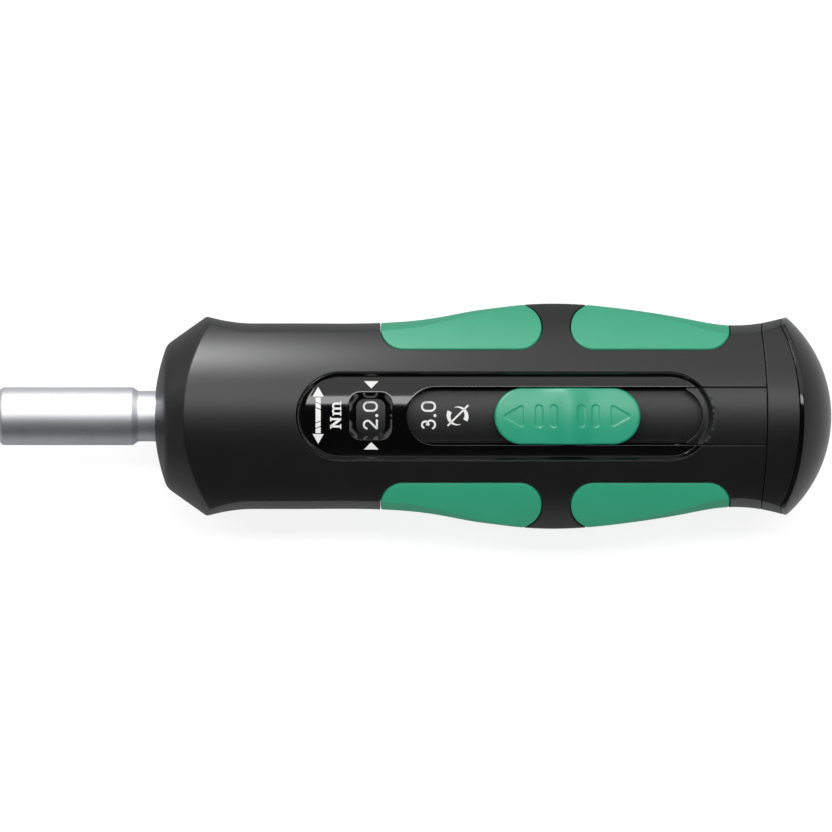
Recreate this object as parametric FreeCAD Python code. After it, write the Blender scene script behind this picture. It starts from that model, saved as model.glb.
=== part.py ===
"""Torque screwdriver with a two-step torque switch, built as an assembly of its real pieces.

The tool lies on its back with its axis along X. The bit holder points to -X, the domed end cap to +X and
the torque switch faces up (+Z). The origin is under the middle of the tool, on the surface it lies on.
All sizes are millimetres. A height "h" is measured up from the tool's axis.
"""
import FreeCAD, Part
import math
import os

V = FreeCAD.Vector

# --- Outer form of the handle ---------------------------------------------------------------------------
LENGTH = 141.28                  # tip of the bit holder to the top of the end dome
FACE_RADIUS = 21.3               # front and back faces are cylinders of this radius, parallel to the axis
FACE_HEIGHT = 14.53              # height of the front face above the axis, on the centre line
FACE_CENTRE = FACE_HEIGHT - FACE_RADIUS
SIDE_RADIUS = 28.5               # crown of the two side faces across the axis
SIDE_EDGE_HEIGHT = 16.0          # the side faces are drawn up to this height, then trimmed by the faces
SIDE_STATIONS = [                # place along the axis and half width of the handle there
    (-50.0, 17.3), (-35.3, 16.9), (-33.2, 16.4), (-31.2, 16.05), (-29.2, 15.83), (-27.0, 15.78),
    (-18.0, 15.78), (-8.75, 15.78), (-2.6, 16.05), (1.4, 16.44), (5.5, 17.1), (9.6, 17.87),
    (13.7, 18.43), (17.8, 18.9), (24.0, 19.14), (30.0, 18.84), (34.1, 18.4), (38.2, 17.87),
    (42.2, 17.26), (46.3, 16.52), (50.4, 15.76), (54.5, 15.45), (58.6, 15.8), (62.7, 16.75), (72.0, 19.4)]
NOSE_DOME_RADIUS = 34.8          # shallow dome of the nose
NOSE_EDGE_X = -42.2              # edge between the dome and the bevel of the nose
NOSE_EDGE_RADIUS = 12.2
BEVEL_SLOPE = 0.708              # gain of radius along the axis on the bevel
END_DOME_RADIUS = 22.3
END_DOME_CENTRE = LENGTH / 2 - END_DOME_RADIUS

AXIS_Z = FACE_HEIGHT             # the back face touches the surface that the tool lies on

# --- Rear end -------------------------------------------------------------------------------------------
SEAM_RADIUS = 54.0               # the shell ends in a part of a sphere
SEAM_CENTRE = 7.08
CAP_RIM = 0.5                    # thickness of the end cap at its rim
CAP_SPIGOT_RADIUS = 11.0
CAP_SPIGOT_FRONT = 61.5
RING_SPIGOT_FRONT = 50.0
RING_SPIGOT_WALL = 1.8

# --- Soft grip inlays -----------------------------------------------------------------------------------
INLAY_DEPTH = 1.5
INLAY_CENTRE_Y = 15.17
INLAY_HALF_WIDTH = 3.9
INLAY_SPANS = {"front": (-6.0, 21.4), "rear": (26.1, 53.2)}

# --- Scale insert, sliding channel and window -----------------------------------------------------------
INSERT_SPAN = (-19.97, 50.0)
INSERT_HALF_WIDTH = 7.4
INSERT_RIM = 0.7                 # width of the sloping rim
PLATE_DROP = 0.93                # the plate lies this far under the front face
INSERT_FLOOR_DROP = 3.12         # underside of the insert, under the front face
WINDOW_X = -7.53
WINDOW_TOP = (7.15, 7.85)        # length and width at the plate
WINDOW_BOTTOM = (4.9, 5.8)       # length and width at the tongue
WINDOW_CORNERS = (1.9, 1.3)
CHANNEL_HALF_WIDTH = 4.86
CHANNEL_FRONT = -27.5
CHANNEL_FLOOR = 9.7              # height of the sill that the tongue slides on
SLOT_SPAN = (-1.45, 48.2)
FILLER_FRONT = 45.5

# --- Torque switch --------------------------------------------------------------------------------------
SECOND_STEP = 9.7                # travel from the first torque to the second
OFF_STEP = 14.5                  # travel from the first torque to the blocked clutch
TONGUE_SPAN = (-12.6, 50.0)
TONGUE_HALF_WIDTH = 4.7
TONGUE_GAP = 0.12                # under the insert
TONGUE_LIFT = 0.08               # over the sill
BUTTON_SPAN = (13.25, 37.8)
BUTTON_HALF_WIDTH = 4.75
BUTTON_CROWN = 15.0              # radius of the button's top across the axis
BUTTON_HEIGHTS = [               # along the axis from the button's middle, and height of the top
    (-14.0, 13.5), (-11.6, 13.82), (-8.0, 13.88), (-4.0, 13.95), (-1.4, 14.65), (0.4, 15.05),
    (1.6, 14.75), (4.0, 13.95), (8.0, 13.88), (11.6, 13.82), (14.0, 13.5)]
PIN_X = 27.0
PIN_RADIUS = 1.3
PIN_HEIGHTS = (3.4, 10.4)        # foot inside the sleeve and top inside the tongue
PIN_SLOT_GAP = 0.3
DETENT_X = 44.0                  # where the detent bumps rest
DETENT_WIRE = 0.5

# --- Spindle and bit holder -----------------------------------------------------------------------------
SLEEVE_RADIUS = 4.93
SLEEVE_ROUND = 0.8
SLEEVE_REAR = -48.1
NECK_FRONT = -47.1
NECK_RADIUS = 4.285
HEX_SOCKET = 6.35                # across the flats, a quarter-inch bit
HEX_DEPTH = 12.0
MAGNET_RADIUS = 2.9
MAGNET_LENGTH = 2.5
RING_GROOVE_X = -67.6
RING_GROOVE_RADIUS = 4.3
RING_WIRE = 0.45
CAM_SEAT = 7.0                   # hexagonal seat of the cam disc, across the flats
TAIL_RADIUS = 3.0
TAIL_REAR = -20.0
CIRCLIP_X = -22.6
CIRCLIP_THICKNESS = 0.8
CIRCLIP_RADII = (2.5, 3.8)

# --- Clutch ---------------------------------------------------------------------------------------------
BORE_RADIUS = 9.0
BUSH_FRONT = -43.6
BUSH_RADIUS = 6.4
BUSH_CLEARANCE = 0.045
FLANGE_FRONT = -38.1
WASHER_FRONT = -36.6
DISC_FRONT = -35.6
DISC_REAR = -32.0
DISC_RADIUS = 8.5
POCKETS = 12
BALLS = 6
BALL_RADIUS = 1.5
BALL_PITCH_RADIUS = 6.2
BALL_CENTRE_X = DISC_REAR + 0.4
POCKET_CLEARANCE = 0.06
CLUTCH_FRONT = -31.5
CLUTCH_REAR = -27.0
CLUTCH_RADIUS = 8.7
CLUTCH_BORE = 3.3
BOSS_REAR = -24.0
BOSS_RADIUS = 4.0
KEY_ANGLES = (-90.0, 30.0, 150.0)
KEY_RADIUS = 10.6
KEY_WIDTH = 3.0
KEY_GAP = 0.3
SEAT_FRONT = 3.0
NUT_FRONT = 4.0
NUT_REAR = 9.0
SPANNER_SLOT = 2.0
SLEEVE_SPAN = (-11.1, 29.5)
SHIFT_RADIUS = 6.4
POCKET_RADIUS = 5.7
POCKET_FLOOR = -1.0
SHIFT_WEB = 2.0
SHIFT_REAR_BORE = 4.4
OUTER_COIL = (7.85, 1.7, 6)      # mean radius, side of the square wire and turns
INNER_COIL = (4.8, 1.3, 8)

WIDE = 30.0                      # reach of a cutting tool past the handle
X_AXIS = V(1, 0, 0)
Z_AXIS = V(0, 0, 1)


def at(x, y, h):
    """Point at x along the tool, y across it and height h above its axis."""
    return V(x, y, AXIS_Z + h)


def rod(x0, x1, radius, h=0.0):
    """Cylinder parallel to the axis, at height h."""
    return Part.makeCylinder(radius, x1 - x0, at(x0, 0, h), X_AXIS)


def tube(x0, x1, inner, outer):
    """Ring or tube about the axis."""
    return rod(x0, x1, outer).cut(rod(x0 - 1, x1 + 1, inner))


def box(x0, x1, half_width, h0, h1):
    """Box that is symmetrical about the middle plane y = 0."""
    return Part.makeBox(x1 - x0, 2 * half_width, h1 - h0, at(x0, -half_width, h0))


def turned(points):
    """Solid of revolution about the axis from (x, radius) points."""
    corners = [at(x, radius, 0) for x, radius in points]
    return Part.Face(Part.makePolygon(corners + corners[:1])).revolve(at(0, 0, 0), X_AXIS, 360)


def stadium(span, half_width, h0, h1, y=0.0):
    """Upright prism with straight sides and half-round ends, from span[0] to span[1] along the axis."""
    a, b = span[0] + half_width, span[1] - half_width
    far, near = y + half_width, y - half_width
    sides = [Part.Arc(at(a, near, h0), at(span[0], y, h0), at(a, far, h0)),
             Part.LineSegment(at(a, far, h0), at(b, far, h0)),
             Part.Arc(at(b, far, h0), at(span[1], y, h0), at(b, near, h0)),
             Part.LineSegment(at(b, near, h0), at(a, near, h0))]
    return Part.Face(Part.Wire([side.toShape() for side in sides])).extrude(V(0, 0, h1 - h0))


def hexagon(x0, x1, across_flats):
    """Hexagonal bar on the axis with one pair of flats upright."""
    corner = across_flats / math.sqrt(3)
    angles = [math.radians(30 + 60 * i) for i in range(7)]
    wire = Part.makePolygon([at(x0, corner * math.cos(a), corner * math.sin(a)) for a in angles])
    return Part.Face(wire).extrude(V(x1 - x0, 0, 0))


def under_face(drop):
    """Long cylinder whose surface lies the given drop under the front face."""
    return rod(-LENGTH, LENGTH, FACE_RADIUS - drop, FACE_CENTRE)


def coil(x0, x1, mean_radius, wire, turns):
    """Compression spring of square wire between two planes, with its end turns ground flat."""
    length = x1 - x0
    helix = Part.makeHelix(length / turns, length, mean_radius)
    half = wire / 2
    corners = [V(mean_radius + r, 0, h) for r, h in ((-half, -half), (half, -half), (half, half), (-half, half))]
    spring = helix.makePipeShell([Part.makePolygon(corners + corners[:1])], True, True)
    spring.Placement = FreeCAD.Placement(at(x0, 0, 0), FreeCAD.Rotation(Z_AXIS, X_AXIS))
    return spring.common(rod(x0, x1, mean_radius + wire))


def handle_sides(inset):
    """Block whose two sides swell and narrow along the handle; its top and bottom lie outside the faces."""
    radius = SIDE_RADIUS - inset
    edge = math.sqrt(radius ** 2 - SIDE_EDGE_HEIGHT ** 2) - radius
    sections = []
    for x, half_width in SIDE_STATIONS:
        s = half_width - inset
        outline = []
        for side in (1, -1):
            low, high = (-SIDE_EDGE_HEIGHT, SIDE_EDGE_HEIGHT) if side > 0 else (SIDE_EDGE_HEIGHT, -SIDE_EDGE_HEIGHT)
            arc = Part.Arc(at(x, side * (s + edge), low), at(x, side * s, 0), at(x, side * (s + edge), high))
            line = Part.LineSegment(at(x, side * (s + edge), high), at(x, -side * (s + edge), high))
            outline += [arc.toShape(), line.toShape()]
        sections.append(Part.Wire(outline))
    return Part.makeLoft(sections, True, False)


def handle_section(inset):
    """The handle without its nose and end dome, with every surface moved inwards by the inset."""
    front = rod(-LENGTH, LENGTH, FACE_RADIUS - inset, FACE_CENTRE)
    back = rod(-LENGTH, LENGTH, FACE_RADIUS - inset, -FACE_CENTRE)
    return handle_sides(inset).common(front).common(back)


def round_ends():
    """Solid of revolution that gives the handle its nose dome, bevel and end dome."""
    reach = END_DOME_RADIUS
    nose_centre = NOSE_EDGE_X + math.sqrt(NOSE_DOME_RADIUS ** 2 - NOSE_EDGE_RADIUS ** 2)
    apex = at(nose_centre - NOSE_DOME_RADIUS, 0, 0)
    half = math.asin(NOSE_EDGE_RADIUS / NOSE_DOME_RADIUS) / 2
    on_dome = at(nose_centre - NOSE_DOME_RADIUS * math.cos(half), NOSE_DOME_RADIUS * math.sin(half), 0)
    edge = at(NOSE_EDGE_X, NOSE_EDGE_RADIUS, 0)
    bevel_end = at(NOSE_EDGE_X + (reach - NOSE_EDGE_RADIUS) / BEVEL_SLOPE, reach, 0)
    dome_start = at(END_DOME_CENTRE, reach, 0)
    slant = reach * math.sqrt(0.5)
    dome_middle = at(END_DOME_CENTRE + slant, slant, 0)
    dome_top = at(END_DOME_CENTRE + reach, 0, 0)
    sides = [Part.Arc(apex, on_dome, edge), Part.LineSegment(edge, bevel_end),
             Part.LineSegment(bevel_end, dome_start), Part.Arc(dome_start, dome_middle, dome_top),
             Part.LineSegment(dome_top, apex)]
    return Part.Face(Part.Wire([side.toShape() for side in sides])).revolve(at(0, 0, 0), X_AXIS, 360)


def make_grip(form, core, span, side):
    """Soft inlay that wraps round one side of the handle, from the front face to the back face."""
    outline = stadium(span, INLAY_HALF_WIDTH, -WIDE, WIDE, side * INLAY_CENTRE_Y)
    return form.common(outline).cut(core)


def make_insert_blank():
    """Insert with its sloping rim and sunk plate, before the window, slot and filler are cut."""
    blank = stadium(INSERT_SPAN, INSERT_HALF_WIDTH, 0, WIDE).common(under_face(0)).cut(under_face(INSERT_FLOOR_DROP))
    inner = INSERT_HALF_WIDTH - INSERT_RIM
    inner_span = (INSERT_SPAN[0] + INSERT_RIM, INSERT_SPAN[1] - INSERT_RIM)
    blank = blank.cut(stadium(inner_span, inner, 0, WIDE).cut(under_face(PLATE_DROP)))
    rim_edges = []
    for edge in blank.Edges:
        point = edge.valueAt((edge.FirstParameter + edge.LastParameter) / 2)
        over_face = math.hypot(point.y, point.z - AXIS_Z - FACE_CENTRE) - FACE_RADIUS
        along = max(inner_span[0] + inner, min(inner_span[1] - inner, point.x))
        from_wall = math.hypot(point.x - along, point.y) - inner
        if abs(over_face) < 0.01 and abs(from_wall) < 0.01:
            rim_edges.append(edge)
    return blank.makeChamfer(INSERT_RIM - 0.04, rim_edges)


def window_cut():
    """Tapered opening of the reading window."""
    outlines = []
    heights = (FACE_HEIGHT - PLATE_DROP, FACE_HEIGHT - INSERT_FLOOR_DROP - 0.1)
    for (length, width), radius, h in zip((WINDOW_TOP, WINDOW_BOTTOM), WINDOW_CORNERS, heights):
        block = Part.makeBox(length, width, 1.0, at(WINDOW_X - length / 2, -width / 2, h - 1.0))
        upright = [e for e in block.Edges if abs(e.Vertexes[0].Point.z - e.Vertexes[1].Point.z) > 0.5]
        rounded = block.makeFillet(radius, upright)
        outlines.append(max(rounded.Faces, key=lambda face: face.CenterOfMass.z).OuterWire)
    return Part.makeLoft(outlines, True, True)


def sliding_channel(x0, x1, margin=0.0):
    """Space for the tongue between the sill and the underside of the insert."""
    reach = box(x0, x1, CHANNEL_HALF_WIDTH, CHANNEL_FLOOR, FACE_HEIGHT)
    return reach.common(under_face(INSERT_FLOOR_DROP - margin))


def front_of_seam():
    """Everything in front of the seam between the shell and the rear ring."""
    ball = Part.makeSphere(SEAM_RADIUS, at(SEAM_CENTRE, 0, 0))
    return ball.common(box(-LENGTH, LENGTH, WIDE, -WIDE, WIDE)).fuse(box(-LENGTH, 0, WIDE, -WIDE, WIDE))


def key_shapes(x0, x1, radius, width):
    """Three keys, or the grooves for them, that stop the clutch ring from turning."""
    keys = []
    for angle in KEY_ANGLES:
        key = Part.makeBox(x1 - x0, radius, width, at(x0, 0, -width / 2))
        key.rotate(at(0, 0, 0), X_AXIS, angle)
        keys.append(key)
    return keys


def make_shell(form, grips):
    """Moulded handle body with its bore, grip pockets, insert seat and sliding channel."""
    shell = form.common(front_of_seam())
    for grip in grips:
        shell = shell.cut(grip)
    shell = shell.cut(rod(FLANGE_FRONT, LENGTH, BORE_RADIUS))
    shell = shell.cut(rod(BUSH_FRONT, LENGTH, BUSH_RADIUS))
    shell = shell.cut(rod(-LENGTH, 0, NECK_RADIUS + KEY_GAP))
    groove_width = KEY_WIDTH + 2 * KEY_GAP
    for groove in key_shapes(FLANGE_FRONT, LENGTH, KEY_RADIUS + KEY_GAP, groove_width):
        shell = shell.cut(groove)
    shell = shell.cut(stadium(INSERT_SPAN, INSERT_HALF_WIDTH, 0, WIDE).cut(under_face(INSERT_FLOOR_DROP)))
    shell = shell.cut(sliding_channel(CHANNEL_FRONT, FILLER_FRONT))
    shell = shell.cut(box(FILLER_FRONT, LENGTH, CHANNEL_HALF_WIDTH, CHANNEL_FLOOR, WIDE))
    slot_half = PIN_RADIUS + PIN_SLOT_GAP
    pin_slot = (PIN_X - OFF_STEP - slot_half, PIN_X + slot_half)
    shell = shell.cut(stadium(pin_slot, slot_half, 0, CHANNEL_FLOOR + 0.1))
    for step in (0.0, SECOND_STEP, OFF_STEP):
        x = DETENT_X - step
        notch = box(x - 0.9, x + 0.9, CHANNEL_HALF_WIDTH + 0.45, CHANNEL_FLOOR, CHANNEL_FLOOR + 0.8)
        shell = shell.cut(notch)
    return shell


def make_channel_filler(form, blank):
    """Strip that closes the channel behind the button, with the rear end of the recess in it."""
    strip = box(FILLER_FRONT, LENGTH, CHANNEL_HALF_WIDTH, CHANNEL_FLOOR, WIDE)
    outside = form.common(front_of_seam()).common(strip)
    outside = outside.cut(stadium(INSERT_SPAN, INSERT_HALF_WIDTH, 0, WIDE).cut(under_face(INSERT_FLOOR_DROP)))
    filler = outside.fuse(blank.common(strip)).removeSplitter()
    filler = filler.cut(sliding_channel(FILLER_FRONT - 1, TONGUE_SPAN[1] + 0.3, margin=-TONGUE_LIFT / 4))
    return filler.cut(stadium(SLOT_SPAN, CHANNEL_HALF_WIDTH, CHANNEL_FLOOR, WIDE))


def make_scale_insert(blank):
    """Glossy scale plate with the reading window and the slot for the button, open at its rear end."""
    insert = blank.cut(window_cut())
    insert = insert.cut(stadium((SLOT_SPAN[0], LENGTH), CHANNEL_HALF_WIDTH, 0, WIDE))
    return insert


def make_rear_ring(form):
    """Rear ring with a socket for the end cap and a spigot that plugs into the shell."""
    cap_seam = Part.makeSphere(END_DOME_RADIUS - CAP_RIM, at(END_DOME_CENTRE, 0, 0))
    ring = form.cut(front_of_seam()).common(cap_seam)
    ring = ring.cut(rod(CAP_SPIGOT_FRONT, LENGTH, CAP_SPIGOT_RADIUS))
    spigot = tube(RING_SPIGOT_FRONT, CAP_SPIGOT_FRONT - 1, BORE_RADIUS - RING_SPIGOT_WALL, BORE_RADIUS)
    ring = ring.fuse(spigot).removeSplitter()
    return ring.cut(rod(0, LENGTH, BORE_RADIUS - RING_SPIGOT_WALL))


def make_end_cap(form):
    """Glossy end dome with a thin rim and a hollow spigot."""
    cap_seam = Part.makeSphere(END_DOME_RADIUS - CAP_RIM, at(END_DOME_CENTRE, 0, 0))
    dome = form.cut(front_of_seam()).cut(cap_seam)
    inner = Part.makeSphere(END_DOME_RADIUS - CAP_RIM - 1.5, at(END_DOME_CENTRE, 0, 0))
    spigot = rod(CAP_SPIGOT_FRONT, LENGTH, CAP_SPIGOT_RADIUS).common(cap_seam)
    spigot = spigot.cut(inner.common(rod(0, LENGTH, CAP_SPIGOT_RADIUS - 2)))
    return dome.fuse(spigot).removeSplitter()


def make_output_spindle():
    """Turned spindle: bit holder with hexagonal socket, neck, seat of the cam disc and tail."""
    tip = -LENGTH / 2
    body = turned([(tip, 0), (tip, SLEEVE_RADIUS), (SLEEVE_REAR, SLEEVE_RADIUS), (NECK_FRONT, NECK_RADIUS),
                   (DISC_FRONT, NECK_RADIUS), (DISC_FRONT, TAIL_RADIUS), (TAIL_REAR, TAIL_RADIUS),
                   (TAIL_REAR, 0)])
    front_edge = [e for e in body.Edges if e.Curve.TypeId == "Part::GeomCircle"
                  and abs(e.Curve.Center.x - tip) < 0.01 and e.Curve.Radius > SLEEVE_RADIUS - 0.01]
    body = body.makeFillet(SLEEVE_ROUND, front_edge)
    body = body.fuse(hexagon(DISC_FRONT, DISC_REAR, CAM_SEAT)).removeSplitter()
    body = body.cut(hexagon(tip - 1, tip + HEX_DEPTH, HEX_SOCKET))
    body = body.cut(rod(tip, tip + HEX_DEPTH + MAGNET_LENGTH, MAGNET_RADIUS))
    body = body.cut(rod(RING_GROOVE_X - RING_WIRE, RING_GROOVE_X + RING_WIRE, RING_GROOVE_RADIUS))
    return body.cut(tube(CIRCLIP_X, CIRCLIP_X + CIRCLIP_THICKNESS, CIRCLIP_RADII[0], SLEEVE_RADIUS))


def make_bit_retaining_ring():
    """Open ring of square wire in the groove of the socket, which grips the bit's corners."""
    ends = (RING_GROOVE_X - RING_WIRE, RING_GROOVE_X + RING_WIRE)
    ring = tube(*ends, RING_GROOVE_RADIUS - 2 * RING_WIRE, RING_GROOVE_RADIUS)
    return ring.cut(Part.makeBox(2, 1.6, SLEEVE_RADIUS, at(RING_GROOVE_X - 1, -0.8, 0)))


def make_cam_disc():
    """Cam disc with a ring of conical ball pockets in its rear face and a hexagonal bore."""
    disc = rod(DISC_FRONT, DISC_REAR, DISC_RADIUS).cut(hexagon(DISC_FRONT - 1, DISC_REAR + 1, CAM_SEAT))
    reach = (BALL_RADIUS + POCKET_CLEARANCE) * math.sqrt(2)
    for i in range(POCKETS):
        y, h = ball_place(i, POCKETS)
        disc = disc.cut(Part.makeCone(0, reach, reach, at(BALL_CENTRE_X - reach, y, h), X_AXIS))
    return disc


def ball_place(i, count):
    """Place across the axis and height of the i-th ball or pocket of a full circle of them."""
    angle = math.radians(360 * i / count)
    return BALL_PITCH_RADIUS * math.cos(angle), BALL_PITCH_RADIUS * math.sin(angle)


def make_clutch_balls():
    """Balls that couple the clutch ring to the cam disc until the set torque lifts them out."""
    places = [ball_place(i, BALLS) for i in range(BALLS)]
    return Part.makeCompound([Part.makeSphere(BALL_RADIUS, at(BALL_CENTRE_X, y, h)) for y, h in places])


def make_clutch_ring():
    """Sliding clutch ring: carries the balls in blind holes and is keyed to the shell."""
    ring = rod(CLUTCH_FRONT, CLUTCH_REAR, CLUTCH_RADIUS)
    for key in key_shapes(CLUTCH_FRONT, CLUTCH_REAR, KEY_RADIUS, KEY_WIDTH):
        ring = ring.fuse(key)
    ring = ring.fuse(rod(CLUTCH_REAR - 1, BOSS_REAR, BOSS_RADIUS)).removeSplitter()
    ring = ring.cut(rod(CLUTCH_FRONT - 1, 0, CLUTCH_BORE))
    for i in range(BALLS):
        y, h = ball_place(i, BALLS)
        ring = ring.cut(Part.makeCylinder(BALL_RADIUS + POCKET_CLEARANCE, 2 * BALL_RADIUS,
                                          at(BALL_CENTRE_X - BALL_RADIUS, y, h), X_AXIS))
    return ring


def make_preload_nut():
    """Threaded ring that sets the spring load, with two spanner slots."""
    nut = tube(NUT_FRONT, NUT_REAR, SHIFT_RADIUS + BUSH_CLEARANCE, BORE_RADIUS)
    return nut.cut(box(NUT_REAR - SPANNER_SLOT, NUT_REAR, BORE_RADIUS + 1, -SPANNER_SLOT / 2, SPANNER_SLOT / 2))


def make_shift_sleeve():
    """Sleeve that carries the rear end of the inner spring and moves with the switch."""
    sleeve = rod(SLEEVE_SPAN[0], SLEEVE_SPAN[1], SHIFT_RADIUS)
    sleeve = sleeve.cut(rod(SLEEVE_SPAN[0], POCKET_FLOOR, POCKET_RADIUS))
    sleeve = sleeve.cut(rod(POCKET_FLOOR - 1, LENGTH, CLUTCH_BORE))
    sleeve = sleeve.cut(rod(POCKET_FLOOR + SHIFT_WEB, SLEEVE_SPAN[1], SHIFT_REAR_BORE))
    return sleeve.cut(make_shift_pin())


def make_shift_pin():
    """Upright pin that joins the tongue to the shift sleeve."""
    foot, top = PIN_HEIGHTS
    return Part.makeCylinder(PIN_RADIUS, top - foot, at(PIN_X, 0, foot), Z_AXIS)


def detent_outline(grow):
    """Flat outline of the detent wire: a U lying under the tongue with a bump on each leg."""
    half = DETENT_WIRE / 2 + grow
    leg, base, end = CHANNEL_HALF_WIDTH - 0.75, DETENT_X - 4.5, DETENT_X + 3.5 + grow
    bump = [(end, leg), (DETENT_X + 0.9, leg), (DETENT_X, leg + 0.75), (DETENT_X - 0.9, leg)]
    outer = [(x, y + half) for x, y in bump] + [(base - half, leg + half)]
    inner = [(base + half, leg - half)] + [(x, y - half) for x, y in reversed(bump)]
    path = outer + [(x, -y) for x, y in reversed(outer)]
    path += [(x, -y) for x, y in reversed(inner)] + inner
    corners = [at(x, y, CHANNEL_FLOOR + TONGUE_LIFT) for x, y in path]
    return Part.Face(Part.makePolygon(corners + corners[:1]))


def make_detent_spring():
    """Wire spring that snaps into the notches beside the channel."""
    return detent_outline(0.0).extrude(V(0, 0, DETENT_WIRE))


def make_slider_tongue():
    """Black slide under the insert, which carries the printed settings."""
    tongue = box(TONGUE_SPAN[0], TONGUE_SPAN[1], TONGUE_HALF_WIDTH, CHANNEL_FLOOR + TONGUE_LIFT, FACE_HEIGHT)
    tongue = tongue.common(under_face(INSERT_FLOOR_DROP + TONGUE_GAP))
    tongue = tongue.cut(detent_outline(0.1).extrude(V(0, 0, DETENT_WIRE)))
    return tongue.cut(make_shift_pin())


def make_slider_button():
    """Thumb button on the tongue, with a raised crest across its middle."""
    middle = sum(BUTTON_SPAN) / 2
    half = BUTTON_HALF_WIDTH + 1
    drop = BUTTON_CROWN - math.sqrt(BUTTON_CROWN ** 2 - half ** 2)
    sections = []
    for offset, h in BUTTON_HEIGHTS:
        x = middle + offset
        crown = Part.Arc(at(x, half, h - drop), at(x, 0, h), at(x, -half, h - drop))
        below = Part.makePolygon([at(x, -half, h - drop), at(x, -half, 0), at(x, half, 0), at(x, half, h - drop)])
        sections.append(Part.Wire([crown.toShape()] + below.Edges))
    button = Part.makeLoft(sections, True, False)
    button = button.common(stadium(BUTTON_SPAN, BUTTON_HALF_WIDTH, 0, WIDE))
    return button.cut(under_face(INSERT_FLOOR_DROP + TONGUE_GAP))


def main():
    """Build every piece and write each to its own STEP file."""
    os.makedirs("parts", exist_ok=True)
    form = handle_section(0.0).common(round_ends())
    core = handle_section(INLAY_DEPTH)
    grips = {}
    for place, span in INLAY_SPANS.items():
        for name, side in (("left", 1), ("right", -1)):
            grips[f"grip_{place}_{name}"] = make_grip(form, core, span, side)
    blank = make_insert_blank()
    nodes = {
        "handle_shell": make_shell(form, grips.values()),
        "scale_insert": make_scale_insert(blank),
        "channel_filler": make_channel_filler(form, blank),
        "rear_ring": make_rear_ring(form),
        "end_cap": make_end_cap(form),
        "front_bush": tube(BUSH_FRONT, WASHER_FRONT, NECK_RADIUS + BUSH_CLEARANCE, BUSH_RADIUS).fuse(
            tube(FLANGE_FRONT, WASHER_FRONT, BUSH_RADIUS, BORE_RADIUS)).removeSplitter(),
        "thrust_washer": tube(WASHER_FRONT, DISC_FRONT, NECK_RADIUS + KEY_GAP, BORE_RADIUS),
        "preload_nut": make_preload_nut(),
        "spring_seat": tube(SEAT_FRONT, NUT_FRONT, SHIFT_RADIUS + KEY_GAP, BORE_RADIUS - 0.1),
        "outer_spring": coil(CLUTCH_REAR, SEAT_FRONT, *OUTER_COIL),
        "output_spindle": make_output_spindle(),
        "bit_retaining_ring": make_bit_retaining_ring(),
        "bit_magnet": rod(HEX_DEPTH - LENGTH / 2, HEX_DEPTH + MAGNET_LENGTH - LENGTH / 2, MAGNET_RADIUS),
        "cam_disc": make_cam_disc(),
        "spindle_circlip": tube(CIRCLIP_X, CIRCLIP_X + CIRCLIP_THICKNESS, *CIRCLIP_RADII),
        "clutch_ring": make_clutch_ring(),
        "clutch_balls": make_clutch_balls(),
        "inner_spring": coil(CLUTCH_REAR, POCKET_FLOOR, *INNER_COIL),
        "slider_tongue": make_slider_tongue(),
        "slider_button": make_slider_button(),
        "shift_sleeve": make_shift_sleeve(),
        "shift_pin": make_shift_pin(),
        "detent_spring": make_detent_spring(),
    }
    nodes.update(grips)
    for name, shape in nodes.items():
        shape.exportStep(f"parts/{name}.step")
        size = shape.BoundBox
        print(f"{name:20s} solids {len(shape.Solids)} valid {shape.isValid()} volume {shape.Volume:9.2f}"
              f" x {size.XMin:.2f}..{size.XMax:.2f} y {size.YMin:.2f}..{size.YMax:.2f}"
              f" z {size.ZMin:.2f}..{size.ZMax:.2f}")


main()
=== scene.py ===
"""Torque screwdriver with a two-step torque switch: the visible model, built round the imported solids.

Shapes are worked out in millimetres in the tool's own frame: x along its axis towards the end cap, y across
it, and h upwards from the axis. A mesh is turned into metres when it is written. The handle's outside is a
function of two numbers, s along the tool and t round it. Openings are outlines in that plane: the skin is a
constrained triangulation between them, and is then carried on to the handle.
"""
import logging
import math
from dataclasses import dataclass, field
from enum import Enum
from functools import cache
from typing import Callable, Sequence

import bpy
import numpy as np
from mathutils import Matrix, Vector
from mathutils.geometry import delaunay_2d_cdt

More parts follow.
